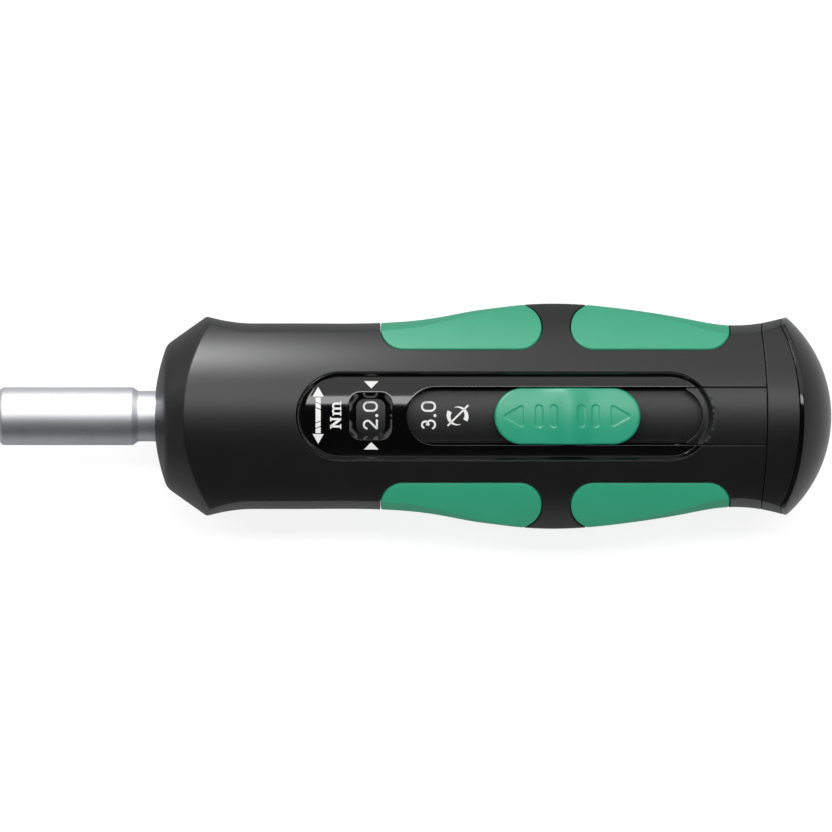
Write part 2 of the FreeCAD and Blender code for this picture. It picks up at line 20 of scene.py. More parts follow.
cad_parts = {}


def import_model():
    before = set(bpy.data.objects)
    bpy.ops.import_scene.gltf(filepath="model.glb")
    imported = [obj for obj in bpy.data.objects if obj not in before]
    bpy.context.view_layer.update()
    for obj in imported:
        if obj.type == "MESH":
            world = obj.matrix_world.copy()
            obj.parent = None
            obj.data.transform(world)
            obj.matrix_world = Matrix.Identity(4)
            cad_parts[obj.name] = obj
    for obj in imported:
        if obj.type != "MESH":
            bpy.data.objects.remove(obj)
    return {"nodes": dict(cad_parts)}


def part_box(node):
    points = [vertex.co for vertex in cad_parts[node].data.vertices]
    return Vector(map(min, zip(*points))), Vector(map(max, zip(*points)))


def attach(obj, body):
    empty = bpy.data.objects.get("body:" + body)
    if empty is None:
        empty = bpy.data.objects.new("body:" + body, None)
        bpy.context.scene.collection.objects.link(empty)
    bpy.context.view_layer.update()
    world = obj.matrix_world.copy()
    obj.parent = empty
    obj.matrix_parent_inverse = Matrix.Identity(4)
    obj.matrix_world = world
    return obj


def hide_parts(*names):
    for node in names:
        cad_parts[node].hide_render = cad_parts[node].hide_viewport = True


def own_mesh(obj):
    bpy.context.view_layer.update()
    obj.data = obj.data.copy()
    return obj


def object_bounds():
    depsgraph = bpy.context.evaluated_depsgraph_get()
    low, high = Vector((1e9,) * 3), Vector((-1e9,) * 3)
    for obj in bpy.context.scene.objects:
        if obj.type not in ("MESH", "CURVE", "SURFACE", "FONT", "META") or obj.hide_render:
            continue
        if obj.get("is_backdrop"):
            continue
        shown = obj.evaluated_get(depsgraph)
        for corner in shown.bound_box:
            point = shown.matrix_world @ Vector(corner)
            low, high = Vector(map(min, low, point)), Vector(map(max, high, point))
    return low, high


LOG = logging.getLogger("torque_screwdriver")
Array = np.ndarray
MM = 0.001


class Body(Enum):
    """The bodies that pieces ride on."""

    HANDLE = "handle"
    SPINDLE = "spindle"
    CLUTCH = "clutch"
    SLIDER = "slider"


# --- Flat outlines --------------------------------------------------------------------------------------
def resampled(path: Array, step: float, closed: bool = True) -> Array:
    """Spaces points evenly along a path.

    Args:
        path: corners, shape (n, 2).
        step: wanted distance between points.
        closed: whether the last corner joins the first.

    Returns:
        The new points; a closed path doesn't repeat its first one.
    """
    whole = np.vstack([path, path[:1]]) if closed else path
    reach = np.concatenate([[0.0], np.cumsum(np.hypot(*np.diff(whole, axis=0).T))])
    count = max(3, int(round(reach[-1] / step)))
    marks = np.linspace(0.0, reach[-1], count + 1)[: count if closed else count + 1]
    return np.stack([np.interp(marks, reach, whole[:, k]) for k in (0, 1)], axis=1)


def arc(centre: Sequence[float], radii: Sequence[float], start: float, end: float, steps: int = 24) -> Array:
    """Points on an arc of an ellipse: the centre plus the radii times cosine and sine of the angle.

    Args:
        centre: x and y of the centre.
        radii: half its size along x and along y.
        start: first angle in degrees.
        end: last angle in degrees.
        steps: number of steps between them.

    Returns:
        The points, shape (steps + 1, 2).
    """
    angle = np.radians(np.linspace(start, end, steps + 1))
    return np.stack([centre[0] + radii[0] * np.cos(angle), centre[1] + radii[1] * np.sin(angle)], axis=1)


def stadium(span: Sequence[float], half_width: float, y: float = 0.0, step: float = 0.3) -> Array:
    """Outline with straight sides and half-round ends, counter-clockwise.

    Args:
        span: x of both ends.
        half_width: half its width, which is the ends' radius.
        y: y of its middle line.
        step: distance between points.

    Returns:
        The closed outline.
    """
    a, b = span[0] + half_width, span[1] - half_width
    radii = (half_width, half_width)
    ends = np.vstack([arc((b, y), radii, -90, 90, 48), arc((a, y), radii, 90, 270, 48)])
    return resampled(ends, step)


def rounded_box(centre: Sequence[float], length: float, width: float, radius: float, step: float) -> Array:
    """Outline of a rectangle with round corners, counter-clockwise.

    Args:
        centre: x and y of its middle.
        length: its size along x.
        width: its size along y.
        radius: radius of its corners.
        step: distance between points.

    Returns:
        The closed outline.
    """
    u, v = length / 2 - radius, width / 2 - radius
    corners = [(u, -v, -90), (u, v, 0), (-u, v, 90), (-u, -v, 180)]
    turns = [arc((centre[0] + a, centre[1] + b), (radius, radius), turn, turn + 90, 12)
             for a, b, turn in corners]
    return resampled(np.vstack(turns), step)


def moved_out(loop: Array, distance: float) -> Array:
    """Moves every point of a closed outline outwards along its normal.

    Args:
        loop: the outline.
        distance: how far; a negative distance moves it in.

    Returns:
        The moved outline.
    """
    along = np.roll(loop, -1, axis=0) - np.roll(loop, 1, axis=0)
    normal = np.stack([along[:, 1], -along[:, 0]], axis=1) / np.hypot(*along.T)[:, None]
    ahead = np.roll(loop, -1, axis=0)
    turn = np.sign(np.sum(loop[:, 0] * ahead[:, 1] - ahead[:, 0] * loop[:, 1]))
    return loop + turn * distance * normal


def inside(points: Array, loop: Array) -> Array:
    """Whether points lie in a closed outline: a level line from one inside crosses it an odd number of
    times.

    Args:
        points: the points, shape (n, 2).
        loop: the outline.

    Returns:
        True for each point that lies inside.
    """
    result = np.zeros(len(points), bool)
    near = np.all((points >= loop.min(axis=0)) & (points <= loop.max(axis=0)), axis=1)
    x, y = points[near, :1], points[near, 1:]
    a, b = loop, np.roll(loop, -1, axis=0)
    rise = np.where(b[:, 1] == a[:, 1], 1e-12, b[:, 1] - a[:, 1])
    crossed = ((a[:, 1] > y) != (b[:, 1] > y)) & (x < a[:, 0] + (y - a[:, 1]) * (b[:, 0] - a[:, 0]) / rise)
    result[near] = np.sum(crossed, axis=1) % 2 == 1
    return result


def distance_to(points: Array, loop: Array, reach: float) -> Array:
    """Distance from points to a closed outline, along the square to its nearest edge.

    Args:
        points: the points, shape (n, 2).
        loop: the outline.
        reach: the distance past which nothing is measured.

    Returns:
        The distance of each point, and no more than reach.
    """
    result = np.full(len(points), reach)
    margin = np.all((points > loop.min(axis=0) - reach) & (points < loop.max(axis=0) + reach), axis=1)
    way = np.roll(loop, -1, axis=0) - loop
    span = np.maximum(np.sum(way * way, axis=1), 1e-18)
    for chunk in np.array_split(np.nonzero(margin)[0], max(1, int(margin.sum() / 2000))):
        offset = points[chunk, None, :] - loop[None]
        share = np.clip(np.sum(offset * way, axis=2) / span, 0.0, 1.0)
        gap = offset - share[..., None] * way
        result[chunk] = np.minimum(reach, np.sqrt(np.sum(gap * gap, axis=2).min(axis=1)))
    return result


def spaced(stops: Sequence[float], steps: Sequence[float]) -> Array:
    """Grid lines that pass through every stop.

    Args:
        stops: places that get a line.
        steps: wanted spacing between one stop and the next.

    Returns:
        The places of all lines, in order.
    """
    parts = [np.linspace(a, b, max(1, int(round((b - a) / step))) + 1)[:-1]
             for a, b, step in zip(stops[:-1], stops[1:], steps)]
    return np.concatenate(parts + [np.array([stops[-1]])])


def lattice_points(xs: Array, ys: Array) -> Array:
    """Every crossing of two sets of grid lines."""
    return np.stack([g.ravel() for g in np.meshgrid(xs, ys, indexing="ij")], axis=1)


def triangulated(free: Array, loops: Sequence[Array], keep: Callable[[Array], Array], clearance: float,
                 chains: Sequence[Array] = ()) -> tuple[Array, Array]:
    """Triangulates an area between outlines.

    Args:
        free: points that may be used where they are clear of the outlines.
        loops: closed outlines that stay edges of the mesh.
        keep: says for each triangle's middle whether the triangle stays.
        clearance: least distance of a free point from an outline.
        chains: open lines that stay edges of the mesh.

    Returns:
        Points, and faces of four corners whose last two are the same.
    """
    clear = np.ones(len(free), bool)
    for loop in loops:
        clear &= distance_to(free, loop, clearance) >= clearance * 0.999
    corners = np.vstack([*loops, *chains, free[clear]])
    edges, start = [], 0
    for path, is_closed in [(p, True) for p in loops] + [(p, False) for p in chains]:
        index = start + np.arange(len(path))
        pairs = np.stack([index, np.roll(index, -1)], axis=1)
        edges.append(pairs if is_closed else pairs[:-1])
        start += len(path)
    made = delaunay_2d_cdt([Vector(p) for p in corners.tolist()], np.vstack(edges).tolist(), [], 0, 1e-6,
                           False)
    points, faces = np.array([p[:] for p in made[0]]), np.array(made[2])
    faces = faces[keep(points[faces].mean(axis=1))]
    used, index = np.unique(faces, return_inverse=True)
    faces = index.reshape(-1, 3)
    return points[used], np.hstack([faces, faces[:, 2:]])


# --- Surfaces in space ----------------------------------------------------------------------------------
@dataclass
class Surface:
    """Points in millimetres, and faces of four corners; a triangle repeats one corner."""

    points: Array
    faces: Array

    def welded(self) -> "Surface":
        """Joins points that lie on each other and drops the faces that this closes up.

        Returns:
            The joined surface.
        """
        _, first, index = np.unique(np.round(self.points, 4), axis=0, return_index=True, return_inverse=True)
        faces = index.reshape(-1)[self.faces]
        for corner in range(4):
            twins = faces[:, corner] == faces[:, (corner + 1) % 4]
            faces[twins] = np.roll(faces[twins], 2 - corner, axis=1)
        a, b, c, d = faces.T
        return Surface(self.points[first], faces[(a != b) & (b != c) & (c != a) & (d != a) & (d != b)])

    def closed_with(self, inner: Array) -> "Surface":
        """Makes a solid wall: a second skin, joined to this one along every border.

        Args:
            inner: the second skin's points, one for each point of this one.

        Returns:
            The closed surface.
        """
        count = len(self.points)
        starts, ends = self.faces.ravel(), np.roll(self.faces, -1, axis=1).ravel()
        real = starts != ends
        starts, ends = starts[real], ends[real]
        lone = ~np.isin(starts * count + ends, ends * count + starts)
        a, b = starts[lone], ends[lone]
        walls = np.stack([b, a, a + count, b + count], axis=1)
        faces = np.vstack([self.faces, self.faces[:, ::-1] + count, walls])
        return Surface(np.vstack([self.points, inner]), faces)

    def joined(self, *others: "Surface") -> "Surface":
        """Puts this surface and others into one.

        Args:
            others: the surfaces to add.

        Returns:
            The surface with all of them.
        """
        points, faces = self.points, self.faces
        for other in others:
            faces = np.vstack([faces, other.faces + len(points)])
            points = np.vstack([points, other.points])
        return Surface(points, faces)


def sheet(points: Array, round_trip: bool = False) -> Surface:
    """Surface over a grid of points, shape (rows, columns, 3).

    Args:
        points: the grid; its outside is where rows crossed with columns points.
        round_trip: whether the last column joins the first.

    Returns:
        The surface in quads.
    """
    rows, columns = points.shape[:2]
    index = np.arange(rows * columns).reshape(rows, columns)
    if round_trip:
        index = np.hstack([index, index[:, :1]])
    faces = np.stack([index[:-1, :-1], index[1:, :-1], index[1:, 1:], index[:-1, 1:]], axis=-1)
    return Surface(points.reshape(-1, 3), faces.reshape(-1, 4))


def rounding(depth_from_edge: Array, radius: float) -> Array:
    """How far a rounded edge falls away: a quarter circle of the radius, over the distance from the edge."""
    short = np.clip(radius - depth_from_edge, 0.0, radius)
    return radius - np.sqrt(np.maximum(radius ** 2 - short ** 2, 0.0))


@dataclass
class Spline:
    """Natural cubic curve through values at knots."""

    knots: Array
    values: Array
    bends: Array = field(init=False)

    def __post_init__(self) -> None:
        """Solves for the second derivative at every knot, which is nought at both ends."""
        gaps = np.diff(self.knots)
        count = len(self.knots)
        system, wanted = np.eye(count), np.zeros(count)
        i = np.arange(1, count - 1)
        system[i, i - 1], system[i, i], system[i, i + 1] = gaps[i - 1], 2 * (gaps[i - 1] + gaps[i]), gaps[i]
        slopes = np.diff(self.values) / gaps
        wanted[i] = 6 * (slopes[i] - slopes[i - 1])
        self.bends = np.linalg.solve(system, wanted)

    def __call__(self, x: Array) -> Array:
        """Value of the curve: two cubic pieces weighted by the bends at both ends of the interval.

        Args:
            x: places along the knots.

        Returns:
            The value at each place.
        """
        k = np.clip(np.searchsorted(self.knots, x) - 1, 0, len(self.knots) - 2)
        left, right = self.knots[k], self.knots[k + 1]
        gap, a, b = right - left, right - x, x - left
        bent = self.bends[k] * a ** 3 / (6 * gap) + self.bends[k + 1] * b ** 3 / (6 * gap)
        return (bent + (self.values[k] / gap - self.bends[k] * gap / 6) * a
                + (self.values[k + 1] / gap - self.bends[k + 1] * gap / 6) * b)


@dataclass
class HandleForm:
    """Outside of the handle. Two long cylinders are its faces, and its sides swell and narrow along it.

    s is -13.7 at the hole in the nose, -6 at the edge of the nose dome, 0 where the bevel meets the faces
    and 98 at the rear seam. t is 0 on the front centre line, grows towards +y to 25.2 at the middle of the
    side face and to 50.4 on the back centre line, and is negative on the other side.
    """

    face_height: float
    end_x: float
    face_radius: float = 21.3
    side_radius: float = 28.5
    corner: float = 0.3
    nose_dome_radius: float = 34.8
    nose_edge_x: float = -42.2
    nose_edge_radius: float = 12.2
    nose_hole: float = 4.585
    bevel_slope: float = 0.708
    end_dome_radius: float = 22.3
    seam_radius: float = 54.0
    seam_centre: float = 7.08
    cap_rim: float = 0.5
    stations: tuple = (
        (-50.0, 17.3), (-35.3, 16.9), (-33.2, 16.4), (-31.2, 16.05), (-29.2, 15.83), (-27.0, 15.78),
        (-18.0, 15.78), (-8.75, 15.78), (-2.6, 16.05), (1.4, 16.44), (5.5, 17.1), (9.6, 17.87),
        (13.7, 18.43), (17.8, 18.9), (24.0, 19.137), (30.0, 18.84), (34.1, 18.4), (38.2, 17.87),
        (42.2, 17.26), (46.3, 16.52), (50.4, 15.76), (54.5, 15.45), (58.6, 15.8), (62.7, 16.75),
        (72.0, 19.4))
    T_FACE = 16.5
    T_CORNER = 0.5
    T_SIDE = 25.2
    S_HOLE = -13.7
    S_DOME = -6.0
    S_END = 98.0

    def __post_init__(self) -> None:
        """Works out where the bevel and the two rear seams meet the faces, for a table of t."""
        knots = np.array(self.stations)
        self.half_width = Spline(knots[:, 0], knots[:, 1])
        self.face_centre = self.face_height - self.face_radius
        self.dome_centre = self.end_x - self.end_dome_radius
        self.t_table = np.linspace(0.0, 2 * self.T_SIDE, 2017)
        cap_radius = self.end_dome_radius - self.cap_rim
        self.bevel_x = self._meeting(
            lambda r: self.nose_edge_x + (r - self.nose_edge_radius) / self.bevel_slope)
        self.seam_x = self._meeting(lambda r: self.seam_centre + np.sqrt(self.seam_radius ** 2 - r ** 2))
        self.cap_x = self._meeting(lambda r: self.dome_centre + np.sqrt(cap_radius ** 2 - r ** 2))
        self.dome_x = self._meeting(lambda r: self.dome_centre + np.sqrt(self.end_dome_radius ** 2 - r ** 2))

    def _meeting(self, surface: Callable[[Array], Array]) -> Array:
        """x where a surface of revolution meets the handle, found by going back and forth between them.

        Args:
            surface: x of that surface at a distance from the axis.

        Returns:
            x for each t of the table.
        """
        x = surface(np.full_like(self.t_table, 15.0))
        for _ in range(60):
            x = 0.5 * x + 0.5 * surface(np.hypot(*self.section(x, self.t_table)))
        return x

    def at_edge(self, table: Array, t: Array) -> Array:
        """Reads one of the tables of meeting places at t."""
        return np.interp(np.abs(t), self.t_table, table)

    def corner_arcs(self, x: Array) -> tuple[Array, ...]:
        """Rounding circle between face and side at x.

        Its centre lies inside both circles by its own radius, so it is a crossing of two smaller circles.

        Args:
            x: place along the tool.

        Returns:
            y and h of its centre, y of the side circle's centre, the angle from upright where the face ends
            and the angle above level where the side begins.
        """
        side_y = self.half_width(x) - self.side_radius
        inner, outer = self.face_radius - self.corner, self.side_radius - self.corner
        apart = np.hypot(side_y, self.face_centre)
        along = (inner ** 2 - outer ** 2 + apart ** 2) / (2 * apart)
        across = np.sqrt(inner ** 2 - along ** 2)
        ey, eh = side_y / apart, -self.face_centre / apart
        y = along * ey + across * eh
        h = self.face_centre + along * eh - across * ey
        return y, h, side_y, np.arctan2(y, h - self.face_centre), np.arctan2(h, y - side_y)

    def section(self, x: Array, t: Array) -> tuple[Array, Array]:
        """Outline across the tool: face arc, corner arc and side arc, mirrored on to the back.

        Args:
            x: place along the tool.
            t: place round it.

        Returns:
            y and h of each point.
        """
        side = np.where(t < 0, -1.0, 1.0)
        behind = np.abs(t) > self.T_SIDE
        u = np.where(behind, 2 * self.T_SIDE - np.abs(t), np.abs(t))
        qy, qh, side_y, face_end, side_start = self.corner_arcs(x)
        on_face, on_corner = u <= self.T_FACE, u <= self.T_FACE + self.T_CORNER
        face = face_end * u / self.T_FACE
        turn = face_end + (math.pi / 2 - side_start - face_end) * (u - self.T_FACE) / self.T_CORNER
        fall = side_start * (self.T_SIDE - u) / (self.T_SIDE - self.T_FACE - self.T_CORNER)
        y = np.where(on_face, self.face_radius * np.sin(face),
                     np.where(on_corner, qy + self.corner * np.sin(turn),
                              side_y + self.side_radius * np.cos(fall)))
        h = np.where(on_face, self.face_centre + self.face_radius * np.cos(face),
                     np.where(on_corner, qh + self.corner * np.cos(turn), self.side_radius * np.sin(fall)))
        return side * y, np.where(behind, -h, h)

    def on_plan(self, x: Array, y: Array) -> tuple[Array, Array]:
        """Finds the point of the upper half over a place in plan, which is the section turned round.

        Args:
            x: place along the tool.
            y: place across it.

        Returns:
            s and t of each point.
        """
        qy, _, side_y, face_end, side_start = self.corner_arcs(x)
        wide = np.abs(y)
        face = self.T_FACE * np.arcsin(np.clip(wide / self.face_radius, 0, 1)) / face_end
        turn = np.arcsin(np.clip((wide - qy) / self.corner, -1, 1))
        corner = self.T_FACE + self.T_CORNER * (turn - face_end) / (math.pi / 2 - side_start - face_end)
        fall = np.arccos(np.clip((wide - side_y) / self.side_radius, -1, 1))
        flank = self.T_SIDE - (self.T_SIDE - self.T_FACE - self.T_CORNER) * fall / side_start
        face_y = self.face_radius * np.sin(face_end)
        flank_y = side_y + self.side_radius * np.cos(side_start)
        side = np.where(y < 0, -1.0, 1.0)
        t = side * np.where(wide <= face_y, face, np.where(wide < flank_y, corner, flank))
        start, end = self.at_edge(self.bevel_x, t), self.at_edge(self.seam_x, t)
        return self.S_END * (x - start) / (end - start), t

    def sharp(self, s: Array, t: Array) -> Array:
        """Points of the handle before its nose edges are rounded.

        Args:
            s: place along the handle.
            t: place round it.

        Returns:
            The points, with x, y and h last.
        """
        start, end = self.at_edge(self.bevel_x, t), self.at_edge(self.seam_x, t)
        x = start + (end - start) * np.maximum(s, 0.0) / self.S_END
        y, h = self.section(x, t)
        rim = np.hypot(y, h)
        slope = self.nose_edge_radius + (rim - self.nose_edge_radius) * (1 - s / self.S_DOME)
        share = (s - self.S_HOLE) / (self.S_DOME - self.S_HOLE)
        dome = self.nose_hole + (self.nose_edge_radius - self.nose_hole) * share
        r = np.where(s >= 0, rim, np.where(s >= self.S_DOME, slope, dome))
        centre = self.nose_edge_x + math.sqrt(self.nose_dome_radius ** 2 - self.nose_edge_radius ** 2)
        bevel = self.nose_edge_x + (r - self.nose_edge_radius) / self.bevel_slope
        nose = centre - np.sqrt(self.nose_dome_radius ** 2 - np.minimum(r, 13.0) ** 2)
        x = np.where(s >= 0, x, np.where(s >= self.S_DOME, bevel, nose))
        return np.stack([x, y * r / rim, h * r / rim], axis=-1)

    def skin(self, s: Array, t: Array) -> Array:
        """Points of the handle; each nose edge is a parabola between the points beside it.

        Args:
            s: place along the handle.
            t: place round it.

        Returns:
            The points, with x, y and h last.
        """
        points = self.sharp(s, t)
        for edge, reach in ((0.0, 0.3), (self.S_DOME, 0.8)):
            u = np.clip((s - edge + reach) / (2 * reach), 0.0, 1.0)[..., None]
            a, b, c = (self.sharp(np.full_like(t, edge + k * reach), t) for k in (-1, 0, 1))
            points = np.where((u > 0) & (u < 1), (1 - u) ** 2 * a + 2 * u * (1 - u) * b + u ** 2 * c, points)
        return points

    def sunk(self, points: Array, depth: Array | float) -> Array:
        """Moves points straight towards the axis, or towards its ends under the nose and the end dome.

        Args:
            points: the points, with x, y and h last.
            depth: how far, for all or for each.

        Returns:
            The moved points.
        """
        heart = points * np.array([1.0, 0.0, 0.0])
        heart[..., 0] = np.clip(heart[..., 0], -34.0, 60.0)
        way = heart - points
        return points + way / np.linalg.norm(way, axis=-1, keepdims=True) * np.asarray(depth)[..., None]

    def face(self, y: Array, drop: Array | float = 0.0) -> Array:
        """Height of a cylinder that lies the given drop under the front face."""
        return self.face_centre + np.sqrt((self.face_radius - drop) ** 2 - y ** 2)

    def lines_round(self) -> Array:
        """Grid lines of t once round the handle, closer together on the rounded corners.

        Returns:
            t of each line, from back centre line to back centre line.
        """
        face, corner, side = self.T_FACE, self.T_FACE + self.T_CORNER, self.T_SIDE
        quarter = spaced((0.0, face, corner, side), (0.82, 0.125, 0.82))
        half = np.concatenate([quarter, (2 * side - quarter[:-1])[::-1]])
        return np.concatenate([-half[:0:-1], half])


# --- Writing pieces -------------------------------------------------------------------------------------
@dataclass
class Workshop:
    """Turns surfaces into Blender objects in the frame, with their finish and body."""

    axis_height: float

    def piece(self, name: str, surface: Surface, material: bpy.types.Material, body: Body, slot: str,
              replaces: Sequence[str] = (), crease: float = 38.0) -> bpy.types.Object:
        """Writes one piece.

        Args:
            name: its name.
            surface: its shape in millimetres, height measured from the axis.
            material: its finish.
            body: the body that it rides on.
            slot: the name of its finish's slot; not used.
            replaces: the solids that it stands for.
            crease: edges sharper than this many degrees stay sharp.

        Returns:
            The new object.
        """
        whole = surface.welded()
        places = (whole.points + np.array([0.0, 0.0, self.axis_height])) * MM
        three = whole.faces[:, 2] == whole.faces[:, 3]
        mesh = bpy.data.meshes.new(name)
        mesh.from_pydata(places.tolist(), [], whole.faces[three, :3].tolist() + whole.faces[~three].tolist())
        mesh.shade_smooth()
        mesh.set_sharp_from_angle(angle=math.radians(crease))
        mesh.materials.append(material)
        made = bpy.data.objects.new(name, mesh)
        bpy.context.scene.collection.objects.link(made)
        if replaces:
            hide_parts(*replaces)
        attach(made, body.value)
        LOG.info("%s: %d points, %d faces, on %s", name, len(whole.points), len(whole.faces), body.value)
        return made


# --- Finishes -------------------------------------------------------------------------------------------
def srgb(code: str) -> tuple[float, float, float, float]:
    """Linear colour of an sRGB hex code.

    Args:
        code: six hex digits, such as 1a2b3c.

    Returns:
        Red, green, blue and an alpha of 1.
    """
    parts = [int(code[i:i + 2], 16) / 255 for i in (0, 2, 4)]
    linear = [p / 12.92 if p <= 0.04045 else ((p + 0.055) / 1.055) ** 2.4 for p in parts]
    return (linear[0], linear[1], linear[2], 1.0)


def node(material: bpy.types.Material | bpy.types.World, kind: str, settings: dict | None = None,
         inputs: dict | None = None) -> bpy.types.Node:
    """Adds a node.

    Args:
        material: the material or world that gets it.
        kind: Blender's name of the node.
        settings: attributes to set on it.
        inputs: for each socket by name or number, a value or another node's socket to link.

    Returns:
        The node.
    """
    tree = material.node_tree
    made = tree.nodes.new(kind)
    for key, value in (settings or {}).items():
        setattr(made, key, value)
    for key, value in (inputs or {}).items():
        if isinstance(value, bpy.types.NodeSocket):
            tree.links.new(value, made.inputs[key])
        else:
            made.inputs[key].default_value = value
    return made


@dataclass(frozen=True)
class Finish:
    """A material and how its surface was made.

    The grain is a fine noise in the object's own space: it roughens and lightens the colour a little and
    gives the surface its relief. Drawn lines are rings round the axis, as a lathe or a grinder leaves them.
    """

    name: str
    colour: str
    second: str
    roughness: tuple[float, float]
    grain_mm: float
    relief_mm: float
    metallic: float = 0.0
    ior: float = 1.5
    specular: float = 0.5
    lines_mm: float = 0.0
    drift_mm: float = 9.0

    @cache
    def material(self) -> bpy.types.Material:
        """Builds the node tree once: noise mixes both colours and sets the roughness between its limits.

        Returns:
            The material.
        """
        made = bpy.data.materials.new(self.name)
        made.use_nodes = True
        made.node_tree.nodes.clear()
        place = node(made, "ShaderNodeTexCoord").outputs["Object"]
        grain = node(made, "ShaderNodeTexNoise", None, {
            "Vector": place, "Scale": 1 / (self.grain_mm * MM), "Detail": 3.0, "Roughness": 0.55})
        drift = node(made, "ShaderNodeTexNoise", None, {
            "Vector": place, "Scale": 1 / (self.drift_mm * MM), "Detail": 2.0})
        height, blend = grain.outputs["Fac"], drift.outputs["Fac"]
        if self.lines_mm:
            lines = node(made, "ShaderNodeTexWave", {"wave_type": "BANDS", "bands_direction": "X"}, {
                "Vector": place, "Scale": 0.314 / (self.lines_mm * MM), "Distortion": 1.2, "Detail": 2.0,
                "Detail Scale": 1.5})
            height = node(made, "ShaderNodeMath", {"operation": "ADD"}, {
                0: grain.outputs["Fac"], 1: lines.outputs["Fac"]}).outputs[0]
        mixed = node(made, "ShaderNodeMath", {"operation": "MULTIPLY_ADD", "use_clamp": True}, {
            0: grain.outputs["Fac"], 1: 0.6, 2: blend}).outputs[0]
        share = node(made, "ShaderNodeMapRange", None, {"Value": mixed, "From Min": 0.55, "From Max": 1.0})
        colour = node(made, "ShaderNodeMix", {"data_type": "RGBA"}, {
            "Factor": share.outputs["Result"], 6: srgb(self.colour), 7: srgb(self.second)})
        rough = node(made, "ShaderNodeMapRange", None, {
            "Value": height, "From Min": 0.3, "From Max": 0.8,
            "To Min": self.roughness[0], "To Max": self.roughness[1]})
        bump = node(made, "ShaderNodeBump", None, {
            "Height": height, "Strength": 1.0, "Distance": self.relief_mm * MM})
        inputs = {"Base Color": colour.outputs[2], "Roughness": rough.outputs["Result"],
                  "Normal": bump.outputs["Normal"], "Metallic": self.metallic,
                  "Specular IOR Level": self.specular}
        if not self.metallic:
            inputs["IOR"] = self.ior
        shader = node(made, "ShaderNodeBsdfPrincipled", None, inputs)
        node(made, "ShaderNodeOutputMaterial", None, {"Surface": shader.outputs["BSDF"]})
        return made


# Glass-filled nylon, moulded against a spark-eroded steel mould: a dull black with a fine even grain.
MOULDED_NYLON = Finish("moulded_black_nylon", "0e0e0f", "121213", (0.36, 0.44), 0.22, 0.004)
# The same nylon where it slides: the grain is polished down, so it shines a little more.
SLIDE_NYLON = Finish("sliding_black_nylon", "0d0d0e", "131314", (0.38, 0.48), 0.3, 0.002)
# ABS from a polished mould: a deep black that mirrors the lamps, with hardly any ripple.
POLISHED_ABS = Finish("polished_black_abs", "040404", "060606", (0.07, 0.1), 1.2, 0.0006)
# Thermoplastic elastomer moulded into the handle: even, saturated and dull, with a soft shine.
SOFT_ELASTOMER = Finish("moulded_green_elastomer", "0a9f76", "0ea37a", (0.6, 0.7), 0.25, 0.003, specular=1.0)
# Acetal button with a satin mould finish, a little paler and smoother than the soft inlays.
SATIN_ACETAL = Finish("moulded_green_acetal", "0f9b75", "139f79", (0.4, 0.48), 0.35, 0.0015, specular=0.9)
# Turned steel, nickel plated and satin blasted: fine rings under a soft silver shine.
TURNED_STEEL = Finish("turned_nickel_plated_steel", "dadbde", "d0d1d5", (0.44, 0.52), 0.3, 0.001,
                      metallic=1.0, lines_mm=0.35)
# Hardened and ground steel: darker, with close grinding lines.
GROUND_STEEL = Finish("ground_hardened_steel", "a6a8ab", "94969a", (0.24, 0.38), 0.3, 0.001,
                      metallic=1.0, lines_mm=0.3)
# Oiled spring wire: dark blue-grey drawn steel.
SPRING_WIRE = Finish("oiled_spring_steel", "7b7f86", "60646b", (0.3, 0.46), 0.4, 0.002, metallic=1.0)
# Sintered bronze: pressed powder, warm, dull and full of fine pores.
SINTERED_BRONZE = Finish("sintered_bronze", "a8834a", "7d5f33", (0.42, 0.62), 0.25, 0.01, metallic=1.0)
# Nickel plating on a sintered magnet: bright and slightly warm.
NICKEL_PLATING = Finish("nickel_plated_magnet", "d8d4ca", "c9c5bb", (0.12, 0.22), 0.5, 0.0008, metallic=1.0)
# Pad-printed ink: an opaque white film that is a little duller than the plate under it.
PRINTED_INK = Finish("pad_printed_white_ink", "f2f2f0", "e8e8e6", (0.4, 0.5), 0.15, 0.001)


